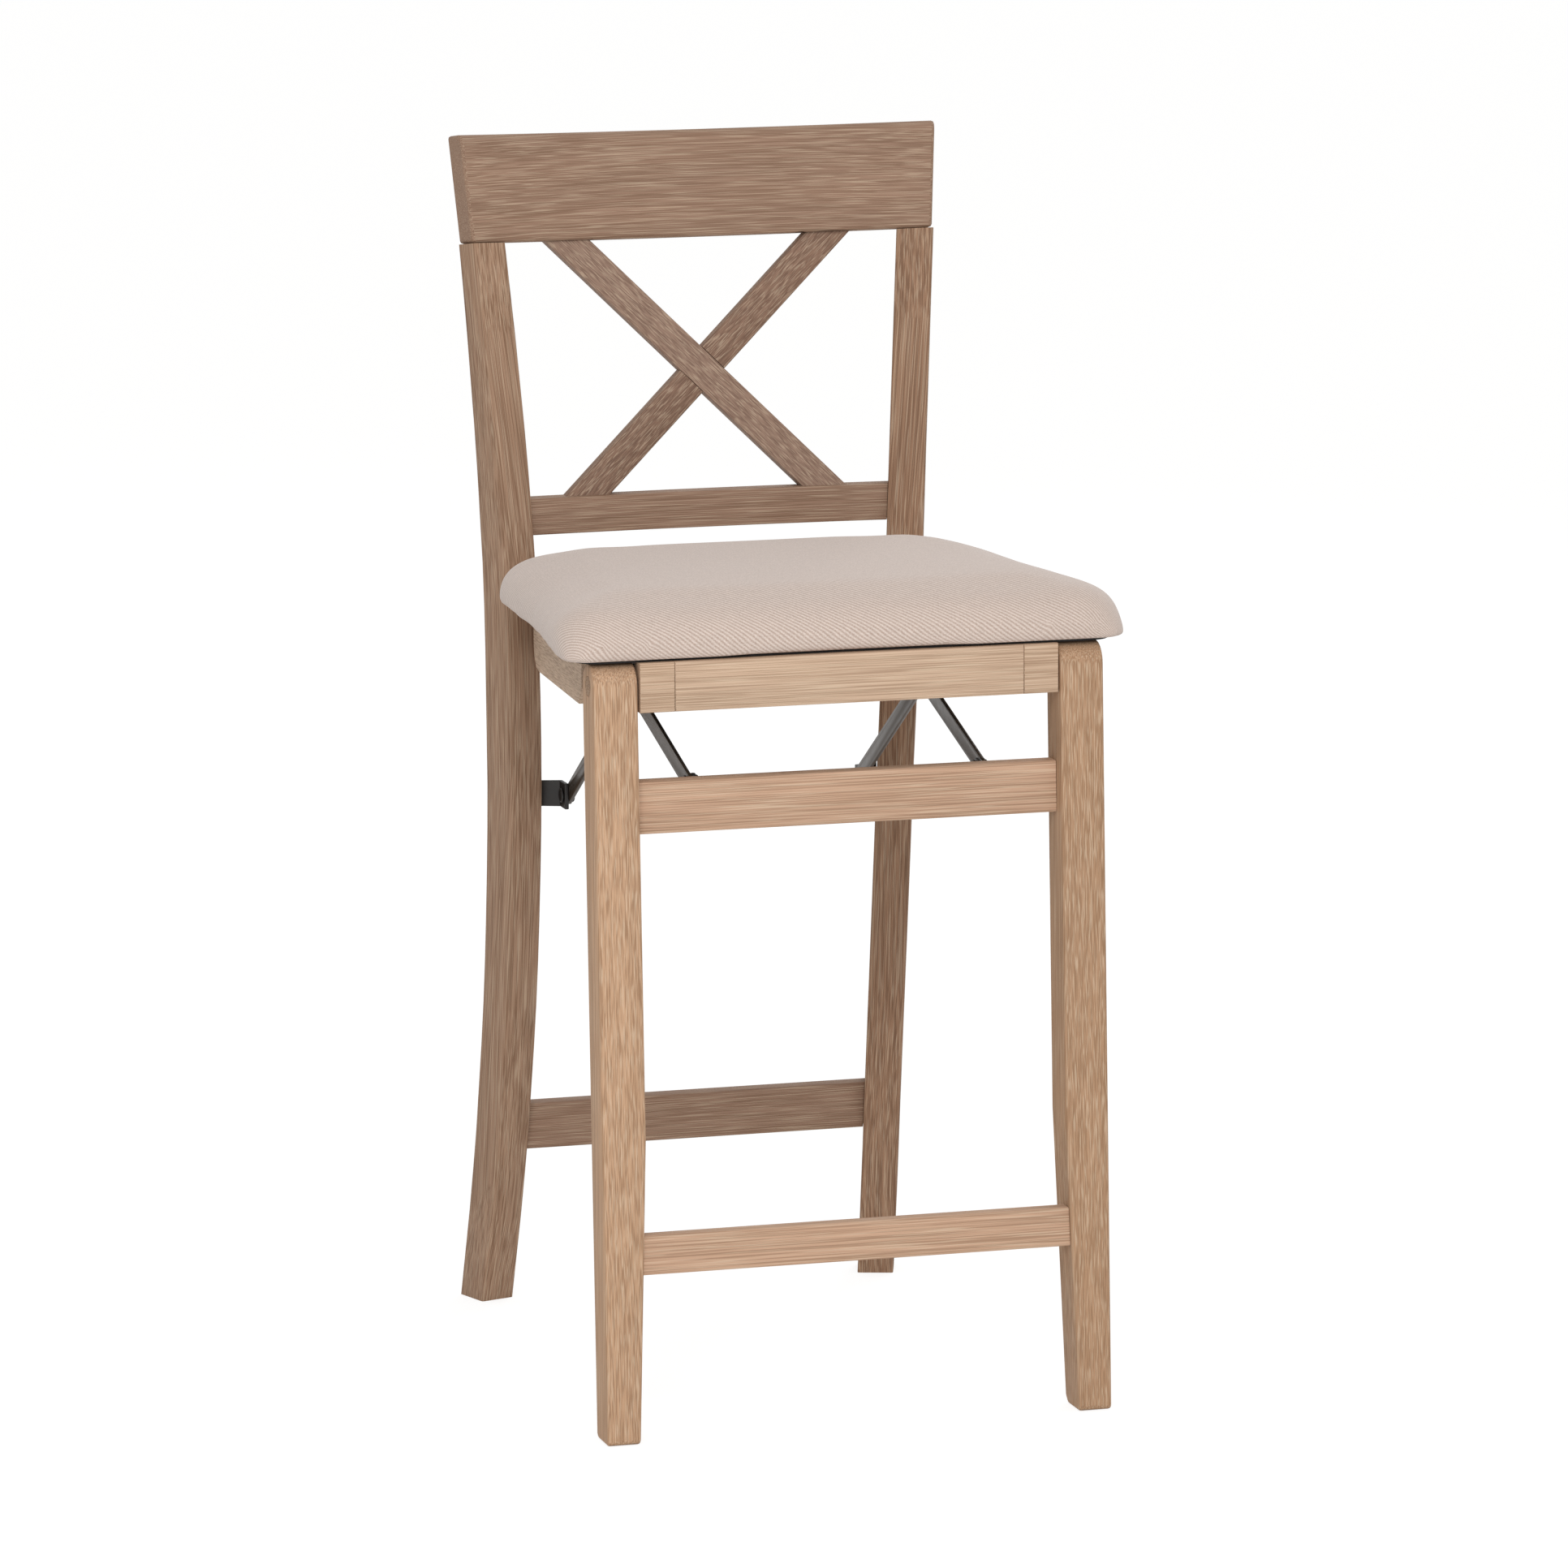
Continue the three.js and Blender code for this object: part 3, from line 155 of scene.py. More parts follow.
def only(piece):
    """Makes one piece the selected and active one."""
    for other in bpy.context.selected_objects:
        other.select_set(False)
    piece.select_set(True)
    bpy.context.view_layer.objects.active = piece


def merged_copy(node, name):
    """A new piece with a CAD node's mesh, its corners shared and its flat faces made whole."""
    piece = bpy.data.objects.new(name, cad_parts[node].data.copy())
    bpy.context.scene.collection.objects.link(piece)
    only(piece)
    bpy.ops.object.mode_set(mode="EDIT")
    bpy.ops.mesh.select_all(action="SELECT")
    bpy.ops.mesh.remove_doubles(threshold=WELD)
    bpy.ops.mesh.dissolve_limited(angle_limit=FLAT_ANGLE)
    bpy.ops.object.mode_set(mode="OBJECT")
    return piece


def ease_edges(piece, width, segments=2, along=None, least=30, between=None, spare=None):
    """Rounds a piece's sharp edges, or only those along a direction or between two facings.

    Least is the smallest angle that counts as sharp, in degrees. The rims of a bore along X stay
    as they are where spare gives a point on its axis and a reach."""
    mesh = piece.data
    faces = {}
    for face in mesh.polygons:
        for key in face.edge_keys:
            faces.setdefault(key, []).append(face.normal.copy())
    weight = mesh.attributes.get("bevel_weight_edge")
    if weight is None:
        weight = mesh.attributes.new("bevel_weight_edge", "FLOAT", "EDGE")
    weight.data.foreach_set("value", np.zeros(len(mesh.edges)))
    for edge in mesh.edges:
        sides = faces.get(tuple(sorted(edge.vertices)), [])
        if len(sides) != 2 or sides[0].angle(sides[1], 0) < math.radians(least):
            continue
        if between and not any(a.dot(Vector(between[0])) > FACING and b.dot(Vector(between[1])) > FACING
                               for a, b in (sides, sides[::-1])):
            continue
        ends = [mesh.vertices[i].co for i in edge.vertices]
        if spare and all(math.hypot(end.y - spare[0].y, end.z - spare[0].z) < spare[1] for end in ends):
            continue
        run = (ends[1] - ends[0]).normalized()
        if along is None or abs(run.dot(Vector(along).normalized())) > RUNNING:
            weight.data[edge.index].value = 1.0
    only(piece)
    bevel = piece.modifiers.new("Ease", "BEVEL")
    bevel.width = width
    bevel.segments = segments
    bevel.limit_method = "WEIGHT"
    bevel.use_clamp_overlap = False
    bpy.ops.object.modifier_apply(modifier=bevel.name)
    bpy.ops.object.shade_smooth_by_angle(angle=SMOOTH_ANGLE)


def paint(piece, material):
    """Makes one material a piece's only one."""
    piece.data.materials.clear()
    piece.data.materials.append(material)


def dress(piece, material, body, slot, *nodes):
    """Gives a piece its material, its body, and the CAD nodes that it stands for."""
    paint(piece, material)
    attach(piece, body)
    if nodes:
        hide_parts(*nodes)


for index, side in enumerate(SIDES):
    leg = merged_copy(f"front_leg_{side}", f"leg_{side}")
    plug_low, plug_high = (Vector(corner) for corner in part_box(f"hinge_plug_{side}"))
    bore = ((plug_low + plug_high) / 2, (plug_high.z - plug_low.z) / 2 + BORE_MARGIN)
    ease_edges(leg, LEG_EDGE, segments=3, spare=bore)
    dress(leg, limed_oak(f"Limed oak, {side} leg", *OAK_LEG[side], shift=(0.31 * index, 0.1, 0.4)),
          "front_frame", "oak", f"front_leg_{side}")


# Rails of the front frame: straight oak boards with tenons glued into the legs.
# The upper one carries the front stays, and feet rest on the lower one. Their grain runs across.
RAIL_EDGE = 1.2 * MM
ACROSS = (0, math.pi / 2, 0)

rail_oak = limed_oak("Limed oak, front rails", "#C29E84", "#A38269", turn=ACROSS, shift=(0.2, 0.7, 0.1))
for node, name in (("upper_rail", "stretcher_upper"), ("foot_rail", "stretcher_foot")):
    rail = merged_copy(node, name)
    ease_edges(rail, RAIL_EDGE, along=(1, 0, 0))
    dress(rail, rail_oak, "front_frame", "oak", node)


# Hinge plugs: short oak dowels that close the holes over the hinge bolts, their end grain outwards.
# End grain drinks more stain, so they are a shade darker than the leg round them.
PLUG_EDGE = 0.3 * MM

plug_oak = limed_oak("Oak end grain, plugs", "#98785C", "#7C5E45", turn=ACROSS)
for side in SIDES:
    plug = merged_copy(f"hinge_plug_{side}", f"plug_{side}")
    ease_edges(plug, PLUG_EDGE, segments=1)
    dress(plug, plug_oak, "front_frame", "oak", f"hinge_plug_{side}")


# Rear posts: each is sawn in one sabre curve from foot to crest, and turned in towards the sitter.
# The grain follows the curve. The edges are eased a little less than on the front legs.
POST_EDGE = 1.6 * MM
POST_RUN = (0, 0.1, 1)  # roughly the way that a post runs
OAK_POST = {"left": ("#A2826A", "#82634C"), "right": ("#99775E", "#7A5B45")}


def read_points(mesh, what="co"):
    """A mesh's points, or their normals, as the rows of an array."""
    rows = np.empty(len(mesh.vertices) * 3)
    mesh.vertices.foreach_get(what, rows)
    return rows.reshape(-1, 3)


def write_vectors(mesh, name, rows):
    """Gives each point of a mesh a named vector, for a material to read."""
    mesh.attributes.new(name, "FLOAT_VECTOR", "POINT").data.foreach_set("vector", rows.ravel())


def follow_the_curve(piece, along=2, degree=5):
    """Writes a grain attribute in which a curved piece is straight along one axis."""
    points = read_points(piece.data)
    grain = points.copy()
    for axis in (0, 1):
        if axis != along:
            curve = np.polyfit(points[:, along], points[:, axis], degree)
            grain[:, axis] -= np.polyval(curve, points[:, along])
    write_vectors(piece.data, "grain", grain)


for index, side in enumerate(SIDES):
    post = merged_copy(f"rear_post_{side}", f"post_{side}")
    ease_edges(post, POST_EDGE, along=POST_RUN)
    follow_the_curve(post)
    dress(post, limed_oak(f"Limed oak, {side} post", *OAK_POST[side], shift=(0.5 + 0.3 * index, 0.2, 0),
                          bent=True, lime=0.3), "back_frame", "oak_back", f"rear_post_{side}")


# Crest rail and the rails between the posts: bent or straight boards with the grain across.
# The crest rail sits on the post tops with dowels and is eased all round. The others have tenons.
CREST_ROUND = 8.5 * MM  # of the edge above the sitter's back
CREST_EDGE = 2.4 * MM
DOWEL_EDGE = 0.8 * MM

back_oak = limed_oak("Limed oak, back rails", "#967864", "#80634F", turn=ACROSS, shift=(0.9, 0.4, 0.3),
                     bent=True, lime=0.3, coarse=0.8)
for node, name, edge, run in (("crest_rail", "crest", CREST_EDGE, None),
                              ("back_rail", "rail_back", RAIL_EDGE, (1, 0, 0)),
                              ("low_rear_rail", "rail_low", RAIL_EDGE, (1, 0, 0)),
                              ("rear_seat_rail", "rail_seat", RAIL_EDGE, (1, 0, 0))):
    rail = merged_copy(node, name)
    if node == "crest_rail":
        ease_edges(rail, CREST_ROUND, segments=7, between=((0, -1, 0), (0, 0, 1)))
    ease_edges(rail, edge, along=run)
    follow_the_curve(rail, along=0, degree=2)
    dress(rail, back_oak, "back_frame", "oak_back", node)
for side in SIDES:
    dowel = merged_copy(f"crest_dowel_{side}", f"dowel_{side}")
    ease_edges(dowel, DOWEL_EDGE)
    dress(dowel, plug_oak, "back_frame", "oak", f"crest_dowel_{side}")


# Cross slats: two oak laths, half-lapped where they cross and housed in the rails at their ends.
# The one from the upper left lies in front. The grain runs along each lath.
SLAT_EDGE = 0.9 * MM
SLAT_ACROSS = 34 * MM  # a slat's width measured level, which its box takes in beside its lean
OAK_SLAT = {"front": ("#967B6A", "#7E6455"), "rear": ("#876A58", "#725747")}

slat_low, slat_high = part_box("cross_slat_front")
SLAT_TURN = math.atan2(slat_high[0] - slat_low[0] - SLAT_ACROSS, slat_high[2] - slat_low[2])
for index, (which, turn) in enumerate((("front", -SLAT_TURN), ("rear", SLAT_TURN))):
    slat = merged_copy(f"cross_slat_{which}", f"slat_{which}")
    run = (math.sin(turn), 0, math.cos(turn))
    ease_edges(slat, SLAT_EDGE, along=run)
    slat_oak = limed_oak(f"Limed oak, {which} slat", *OAK_SLAT[which], turn=(0, turn, 0),
                         shift=(0.3 * index, 0.6, 0.2), lime=0.3)
    dress(slat, slat_oak, "back_frame", "oak_back", f"cross_slat_{which}")


# Seat frame: a front rail between two hinge blocks, and a rail under each side of the board.
# The joints are glued flush, and the ends are broken with sandpaper, so that each shows as a thin line.
APRON_EDGE = 0.9 * MM
JOINT_GROOVE = 0.5 * MM

block_oak = limed_oak("Limed oak, hinge blocks", "#C2A58C", "#A3866D", turn=ACROSS, shift=(0.1, 0.3, 0.8))
front_oak = limed_oak("Limed oak, seat front", "#C6A990", "#A88C74", turn=ACROSS, shift=(0.6, 0.9, 0.5))
side_oak = limed_oak("Limed oak, seat sides", "#C3A992", "#A48A74", turn=(math.pi / 2, 0, 0))
apron = merged_copy("seat_front_rail", "apron_front")
ease_edges(apron, APRON_EDGE, along=(1, 0, 0))
ease_edges(apron, JOINT_GROOVE, segments=1, along=(0, 0, 1))
dress(apron, front_oak, "seat", "oak", "seat_front_rail")
for side in SIDES:
    block = merged_copy(f"seat_block_{side}", f"hinge_block_{side}")
    ease_edges(block, APRON_EDGE, along=(1, 0, 0))
    ease_edges(block, JOINT_GROOVE, segments=1, along=(0, 0, 1))
    dress(block, block_oak, "seat", "oak", f"seat_block_{side}")
    rail = merged_copy(f"seat_side_rail_{side}", f"apron_{side}")
    ease_edges(rail, RAIL_EDGE, along=(0, 1, 0))
    dress(rail, side_oak, "seat", "oak", f"seat_side_rail_{side}")


# Seat board: plywood that the cushion is stapled round. Its edges and top are hidden in the cushion.
# It is birch ply, pale, with dark glue lines between the layers.
PLY_LAYER = 1.4 * MM


def band_scale(pitch):
    """The Scale at which a Wave texture's bands lie a pitch apart: it turns 20 radians in a unit."""
    return 2 * math.pi / 20 / pitch


plywood, tree, shader = new_material("Birch plywood, seat board")
place = add_node(tree, "ShaderNodeTexCoord").outputs["Object"]
layers = add_node(tree, "ShaderNodeTexWave", {"bands_direction": "Z"}, {
    "Vector": place, "Scale": band_scale(PLY_LAYER), "Distortion": 0.2})
ply_colour = add_node(tree, "ShaderNodeMix", {"data_type": "RGBA"}, {
    "Factor": layers.outputs["Fac"], COLOUR_A: linear("#B08E62"), COLOUR_B: linear("#D2B688")})
tree.links.new(ply_colour.outputs[COLOUR_MIXED], shader.inputs["Base Color"])
shader.inputs["Roughness"].default_value = 0.7
paint(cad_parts["seat_board"], plywood)


# Dust cover: black spun cloth stapled under the seat. It shows as a thin dark line at the front.
# Spun cloth has no weave, only a fine even speckle of pressed fibres.
COVER_NARROWING = 0.978  # its width as a share of the CAD solid's: the cloth is drawn in at the sides
COVER_EDGE = 0.35 * MM
FIBRE_SIZE = 1.2 * MM


def speckled(name, size, detail, dark, light, roughness, metallic=0.0, bump=None):
    """A finish that wavers between two colours over specks of one size.

    Roughness is one value, or the pair that it wavers between. Bump is a strength and a depth."""
    material, tree, shader = new_material(name)
    place = add_node(tree, "ShaderNodeTexCoord").outputs["Object"]
    specks = add_node(tree, "ShaderNodeTexNoise", inputs={
        "Vector": place, "Scale": 1 / size, "Detail": detail}).outputs[0]
    colour = add_node(tree, "ShaderNodeMix", {"data_type": "RGBA"}, {
        "Factor": specks, COLOUR_A: linear(dark), COLOUR_B: linear(light)})
    tree.links.new(colour.outputs[COLOUR_MIXED], shader.inputs["Base Color"])
    shader.inputs["Metallic"].default_value = metallic
    if isinstance(roughness, tuple):
        rough = add_node(tree, "ShaderNodeMapRange", inputs={
            "Value": specks, "To Min": roughness[0], "To Max": roughness[1]})
        tree.links.new(rough.outputs[0], shader.inputs["Roughness"])
    else:
        shader.inputs["Roughness"].default_value = roughness
    if bump:
        raised = add_node(tree, "ShaderNodeBump", inputs={
            "Height": specks, "Strength": bump[0], "Distance": bump[1]})
        tree.links.new(raised.outputs[0], shader.inputs["Normal"])
    return material


spun_cloth = speckled("Spun cloth, dust cover", FIBRE_SIZE, 3.0, "#141313", "#2A2828", 0.92,
                      bump=(0.3, 0.2 * MM))
cover = merged_copy("dust_cover", "underside_cloth")
cover.data.transform(Matrix.Diagonal((COVER_NARROWING, 1, 1, 1)))
ease_edges(cover, COVER_EDGE)
dress(cover, spun_cloth, "seat", "black_cloth", "dust_cover")


# Cushion: foam over the board in a linen twill cover, pulled down round the edge and stapled underneath.
# The foam is blown up a little under its cover by a cloth simulation, held where it lies on the board.
# Twill shows as fine diagonal ribs. The yarns vary in tone, which gives the eye a soft salt and pepper.
CUSHION_VOXEL = 5 * MM
CUSHION_PRESSURE = 4.0
CUSHION_STEPS = 20  # frames of the simulation
CUSHION_TRAVEL = 4.5 * MM  # the furthest that a point may swell
CUSHION_GIVE = 0.2  # share of any inward pull that the foam lets through
CORNER_SLUMP = 4 * MM  # the right rear corner sits a little lower, as in the photograph
CORNER_REACH = 50 * MM
CORNER_INSET = 40 * MM  # of the slump's middle from the right side
VOXEL_ROUNDS = 4  # rounds of smoothing that take the steps out of the remeshed block
CROWN_ROUNDS = 30  # and that turn the swollen one into one soft crown
CUSHION_HOLD = 12 * MM  # height over the board's underside up to which the foam is held
SOFT_FROM = 10 * MM  # height over the staples at which it is quite free
LEAST_LEVEL = 0.3  # share of a normal that is level, below which the underside counts as flat
EDGE_ROLL = 10 * MM  # cloth that rolls under the edge, so that the ribs keep their slant there

RIB_PITCH = 3.2 * MM  # about twice the real one, so that the ribs show
RIB_SLANT = math.radians(45)
YARN_WIDTH = 1.3 * MM
YARN_SHARE = 0.68  # of the yarns in the tone of the weave, beside the ribs
SLUB_WIDTH = 6 * MM
SLUB_TONES = (0.95, 1.04)
WEAVE_DEPTH = 0.35 * MM
VALUE_A, VALUE_B = 2, 3  # sockets of a Mix node that mixes numbers

twill, tree, shader = new_material("Linen twill, cushion cover")
place = add_node(tree, "ShaderNodeAttribute", {"attribute_name": "cloth"}).outputs["Vector"]
diagonal = add_node(tree, "ShaderNodeMapping", inputs={"Vector": place, "Rotation": (0, 0, RIB_SLANT)})
ribs = add_node(tree, "ShaderNodeTexWave", {"bands_direction": "Y"}, {
    "Vector": diagonal.outputs[0], "Scale": band_scale(RIB_PITCH),
    "Distortion": 0.5, "Detail": 1.0, "Detail Scale": 0.5})
yarn = add_node(tree, "ShaderNodeTexNoise", inputs={
    "Vector": place, "Scale": 1 / YARN_WIDTH, "Detail": 2.0, "Roughness": 0.6})
slub = add_node(tree, "ShaderNodeTexNoise", inputs={
    "Vector": place, "Scale": 1 / SLUB_WIDTH, "Detail": 3.0, "Roughness": 0.6})
weave = add_node(tree, "ShaderNodeMix", {"data_type": "FLOAT"}, {
    "Factor": YARN_SHARE, VALUE_A: ribs.outputs["Fac"], VALUE_B: yarn.outputs[0]})
threads = add_node(tree, "ShaderNodeMapRange", inputs={
    "Value": weave.outputs[0], "From Min": NOISE_LEVELS[0], "From Max": NOISE_LEVELS[1]})
thread_colour = add_node(tree, "ShaderNodeMix", {"data_type": "RGBA"}, {
    "Factor": threads.outputs[0], COLOUR_A: linear("#AE988B"), COLOUR_B: linear("#D6C7BD")})
slub_tone = add_node(tree, "ShaderNodeMapRange", inputs={
    "Value": slub.outputs[0], "From Min": NOISE_LEVELS[0], "From Max": NOISE_LEVELS[1],
    "To Min": SLUB_TONES[0], "To Max": SLUB_TONES[1]})
slub_colour = add_node(tree, "ShaderNodeHueSaturation", inputs={
    "Color": thread_colour.outputs[COLOUR_MIXED], "Value": slub_tone.outputs[0]})
tree.links.new(slub_colour.outputs[0], shader.inputs["Base Color"])
shader.inputs["Roughness"].default_value = 0.9
shader.inputs["Sheen Weight"].default_value = 0.25
shader.inputs["Sheen Roughness"].default_value = 0.6
bump = add_node(tree, "ShaderNodeBump", inputs={
    "Height": weave.outputs[0], "Strength": 0.45, "Distance": WEAVE_DEPTH})
tree.links.new(bump.outputs[0], shader.inputs["Normal"])

cushion = merged_copy("cushion", "seat_cushion")
low, high = (Vector(corner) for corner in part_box("cushion"))


def write_points(mesh, points):
    """Moves a mesh's points to the rows of an array."""
    mesh.vertices.foreach_set("co", points.ravel())
    mesh.update()


def soften(piece, rounds):
    """Evens out the surface above the staples, so that no facet of the source shows."""
    heights = read_points(piece.data)[:, 2] - low.z
    free = piece.vertex_groups.new(name="free")
    for index, share in enumerate(np.clip(heights / SOFT_FROM, 0.0, 1.0)):
        free.add([index], float(share), "REPLACE")
    smooth = piece.modifiers.new("Soften", "SMOOTH")
    smooth.factor = 0.5
    smooth.iterations = rounds
    smooth.vertex_group = "free"
    only(piece)
    bpy.ops.object.modifier_apply(modifier="Soften")
    piece.vertex_groups.clear()


cushion.data.remesh_voxel_size = CUSHION_VOXEL
only(cushion)
bpy.ops.object.voxel_remesh()
soften(cushion, VOXEL_ROUNDS)
start = read_points(cushion.data)
outward = read_points(cushion.data, "normal")
held = cushion.vertex_groups.new(name="held")
held.add([int(i) for i in np.nonzero(start[:, 2] < low.z + CUSHION_HOLD)[0]], 1.0, "REPLACE")
foam = cushion.modifiers.new("Foam", "CLOTH").settings
foam.use_pressure = True
foam.uniform_pressure_force = CUSHION_PRESSURE
foam.effector_weights.gravity = 0.0
foam.vertex_group_mass = "held"
foam.quality = 5
for step in range(1, CUSHION_STEPS + 1):
    bpy.context.scene.frame_set(step)
only(cushion)
bpy.ops.object.modifier_apply(modifier="Foam")
swollen = read_points(cushion.data)
travel = swollen - start
push = (travel * outward).sum(axis=1, keepdims=True)
travel -= outward * np.minimum(push, 0) * (1 - CUSHION_GIVE)
length = np.linalg.norm(travel, axis=1, keepdims=True)
capped = start + travel * np.minimum(1.0, CUSHION_TRAVEL / np.maximum(length, 1e-9))
from_corner = np.hypot(capped[:, 0] - high.x + CORNER_INSET, capped[:, 1] - high.y)
lift = np.clip((capped[:, 2] - low.z) / (high.z - low.z), 0, 1)
capped[:, 2] -= CORNER_SLUMP * lift * np.exp(-(from_corner / CORNER_REACH) ** 2)
capped[:, 2] = np.maximum(capped[:, 2], low.z)
write_points(cushion.data, capped)
cushion.vertex_groups.clear()
soften(cushion, CROWN_ROUNDS)
# Smoothing shrinks the cushion, so it is drawn out again to the size that it had swollen to.
eased = read_points(cushion.data)
for axis in range(3):
    now = eased[:, axis].min(), eased[:, axis].max()
    before = capped[:, axis].min(), capped[:, axis].max()
    eased[:, axis] = np.interp(eased[:, axis], now, before)
write_points(cushion.data, eased)
bpy.context.scene.frame_set(1)
finer = cushion.modifiers.new("Finer", "SUBSURF")
finer.levels = finer.render_levels = 1
only(cushion)
bpy.ops.object.modifier_apply(modifier="Finer")
bpy.ops.object.shade_smooth()

# The cloth is read as if it lay flat: out from each point by how far the cover has dropped there.
points = read_points(cushion.data)
normals = read_points(cushion.data, "normal")
drop = points[:, 2].max() - points[:, 2]
under = normals[:, 2] < 0
level = np.maximum(np.hypot(normals[under, 0], normals[under, 1]), LEAST_LEVEL)
drop[under] = (drop[under] - normals[under, 2] * EDGE_ROLL) / level
cloth = np.zeros_like(points)
cloth[:, :2] = points[:, :2] + normals[:, :2] * drop[:, None]
write_vectors(cushion.data, "cloth", cloth)
dress(cushion, twill, "seat", "linen", "cushion")


# Folding stays and their brackets: flat steel bar and strip, punched, deburred and dipped in enamel.
# The stays are dark brown with a satin finish, whose gloss shows a faint unevenness from rolling.
# The brackets are black, with the orange peel of a thicker coat. Their near-black tone is partly their own
# enamel and partly painted shade for the shadow that they sit in.
STAY_EDGE = 0.6 * MM
MILL_SIZE = 6 * MM
PEEL_SIZE = 2 * MM

dark_enamel = speckled("Satin enamel on steel, stays", MILL_SIZE, 4.0, "#352B22", "#4A3E32", (0.3, 0.46),
                       metallic=0.35)
# Near black: partly the brackets' own enamel, partly painted shade for the shadow round them.
black_enamel_and_shade = speckled("Black enamel and painted shade, brackets", PEEL_SIZE, 2.0, "#171412", "#25201D", 0.5,
                        bump=(0.15, 0.1 * MM))
for side in SIDES:
    for node, body, enamel in (("rear_stay", f"rear_stay_{side}", dark_enamel),
                               ("front_stay", f"front_stay_{side}", dark_enamel),
                               ("post_bracket", "back_frame", black_enamel_and_shade),
                               ("seat_pivot_bracket", "back_frame", black_enamel_and_shade),
                               ("upper_rail_bracket", "front_frame", black_enamel_and_shade)):
        part = merged_copy(f"{node}_{side}", f"{node}_enamelled_{side}")
        ease_edges(part, STAY_EDGE)
        dress(part, enamel, body, "dark_steel", f"{node}_{side}")


# Rivets, bolts and nuts. The rivet heads are domed by the press that closes them, and enamelled black.
# The bolts and nuts are steel, zinc-plated: a soft bright grey with a fine, slightly cloudy grain.
RIVET_DOME = 1.3 * MM
RIVET_RIM = 60  # degrees: the rims are sharper than this
ZINC_CLOUD = 2 * MM

zinc = speckled("Zinc-plated steel, fasteners", ZINC_CLOUD, 3.0, "#77767A", "#8E8D90", (0.3, 0.5),
                metallic=1.0)
for side in SIDES:
    for node, body in (("post_rivet", "back_frame"), ("knee_rivet", f"rear_stay_{side}"),
                       ("upper_rail_rivet", "front_frame")):
        rivet = merged_copy(f"{node}_{side}", f"{node}_domed_{side}")
        ease_edges(rivet, RIVET_DOME, segments=3, least=RIVET_RIM)
        dress(rivet, black_enamel_and_shade, body, "bright_steel", f"{node}_{side}")
    for node in ("hinge_bolt", "hinge_nut", "seat_pivot_bolt"):
        paint(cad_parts[f"{node}_{side}"], zinc)


# Washers: nylon discs between the legs and the seat frame, coloured dark as painted shade, so that the gap
# reads as a shadow.
# They are moulded, which leaves a dull, faintly mottled skin.
MOULD_SIZE = 1.5 * MM

# Dark grey: painted shade for the gap between each leg and the seat frame.
nylon = speckled("Moulded nylon, washers, painted shade", MOULD_SIZE, 2.0, "#2E2C2B", "#3A3837", 0.5)
for side in SIDES:
    paint(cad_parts[f"hinge_washer_{side}"], nylon)


# Screws: pan-head wood screws with a cross slot, zinc-plated, that hold the brackets.
# One is modelled upright at the origin, and a copy is turned and moved to each hole.
SCREW_HEAD_RADIUS = 3.8 * MM
SCREW_HEAD_HEIGHT = 1.8 * MM
SCREW_DOME = 1.1 * MM
SCREW_SMOOTH_ANGLE = math.radians(35)
SLOT_LENGTH = 4.2 * MM
SLOT_WIDTH = 0.9 * MM
SLOT_DEPTH = 1.1 * MM
POST_TURN = math.radians(18)  # how far each post is turned in towards the sitter


def screw_head(name):
    """A domed head that stands on the XY plane, with a cross slot."""
    bpy.ops.mesh.primitive_cylinder_add(vertices=32, radius=SCREW_HEAD_RADIUS, depth=SCREW_HEAD_HEIGHT,
                                        location=(0, 0, SCREW_HEAD_HEIGHT / 2))
    head = bpy.context.active_object
    head.name = name
    bpy.ops.object.transform_apply(location=True)
    dome = head.modifiers.new("Dome", "BEVEL")
    dome.width = SCREW_DOME
    dome.segments = 4
    dome.limit_method = "ANGLE"
    bpy.ops.object.modifier_apply(modifier="Dome")
    for length, width in ((SLOT_LENGTH, SLOT_WIDTH), (SLOT_WIDTH, SLOT_LENGTH)):
        bpy.ops.mesh.primitive_cube_add(size=1, location=(0, 0, SCREW_HEAD_HEIGHT))
        cutter = bpy.context.active_object
        cutter.scale = (length, width, 2 * SLOT_DEPTH)
        bpy.ops.object.transform_apply(location=True, scale=True)
        only(head)
        slot_cut = head.modifiers.new("Slot", "BOOLEAN")
        slot_cut.operation = "DIFFERENCE"
        slot_cut.solver = "EXACT"
        slot_cut.object = cutter
        bpy.ops.object.modifier_apply(modifier="Slot")
        bpy.data.objects.remove(cutter)
    only(head)
    bpy.ops.object.shade_smooth_by_angle(angle=SCREW_SMOOTH_ANGLE)
    return head


pattern = screw_head("screw_pattern")
for side, sign in zip(SIDES, (1, -1)):
    inwards = (sign * math.cos(POST_TURN), math.sin(POST_TURN), 0)
    for node, body, facing in (("seat_pivot_screw_1", "back_frame", (0, -1, 0)),
                               ("seat_pivot_screw_2", "back_frame", (0, -1, 0)),
                               ("upper_rail_screw_1", "front_frame", (0, 1, 0)),
                               ("upper_rail_screw_2", "front_frame", (0, 1, 0)),
                               ("post_bracket_screw", "back_frame", inwards)):
        corner_low, corner_high = (Vector(corner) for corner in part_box(f"{node}_{side}"))
        centre = (corner_low + corner_high) / 2
        normal = Vector(facing)
        points = read_points(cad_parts[f"{node}_{side}"].data)
        reach = (points @ np.array(normal)).max() - centre.dot(normal)
        screw = pattern.copy()
        screw.data = pattern.data.copy()
        screw.name = f"{node}_slotted_{side}"
        bpy.context.scene.collection.objects.link(screw)
        turn = Vector((0, 0, 1)).rotation_difference(normal).to_matrix().to_4x4()
        screw.data.transform(turn)
        screw.data.transform(Matrix.Translation(centre + normal * (reach - SCREW_HEAD_HEIGHT)))
        dress(screw, zinc, body, "bright_steel", f"{node}_{side}")
bpy.data.objects.remove(pattern)


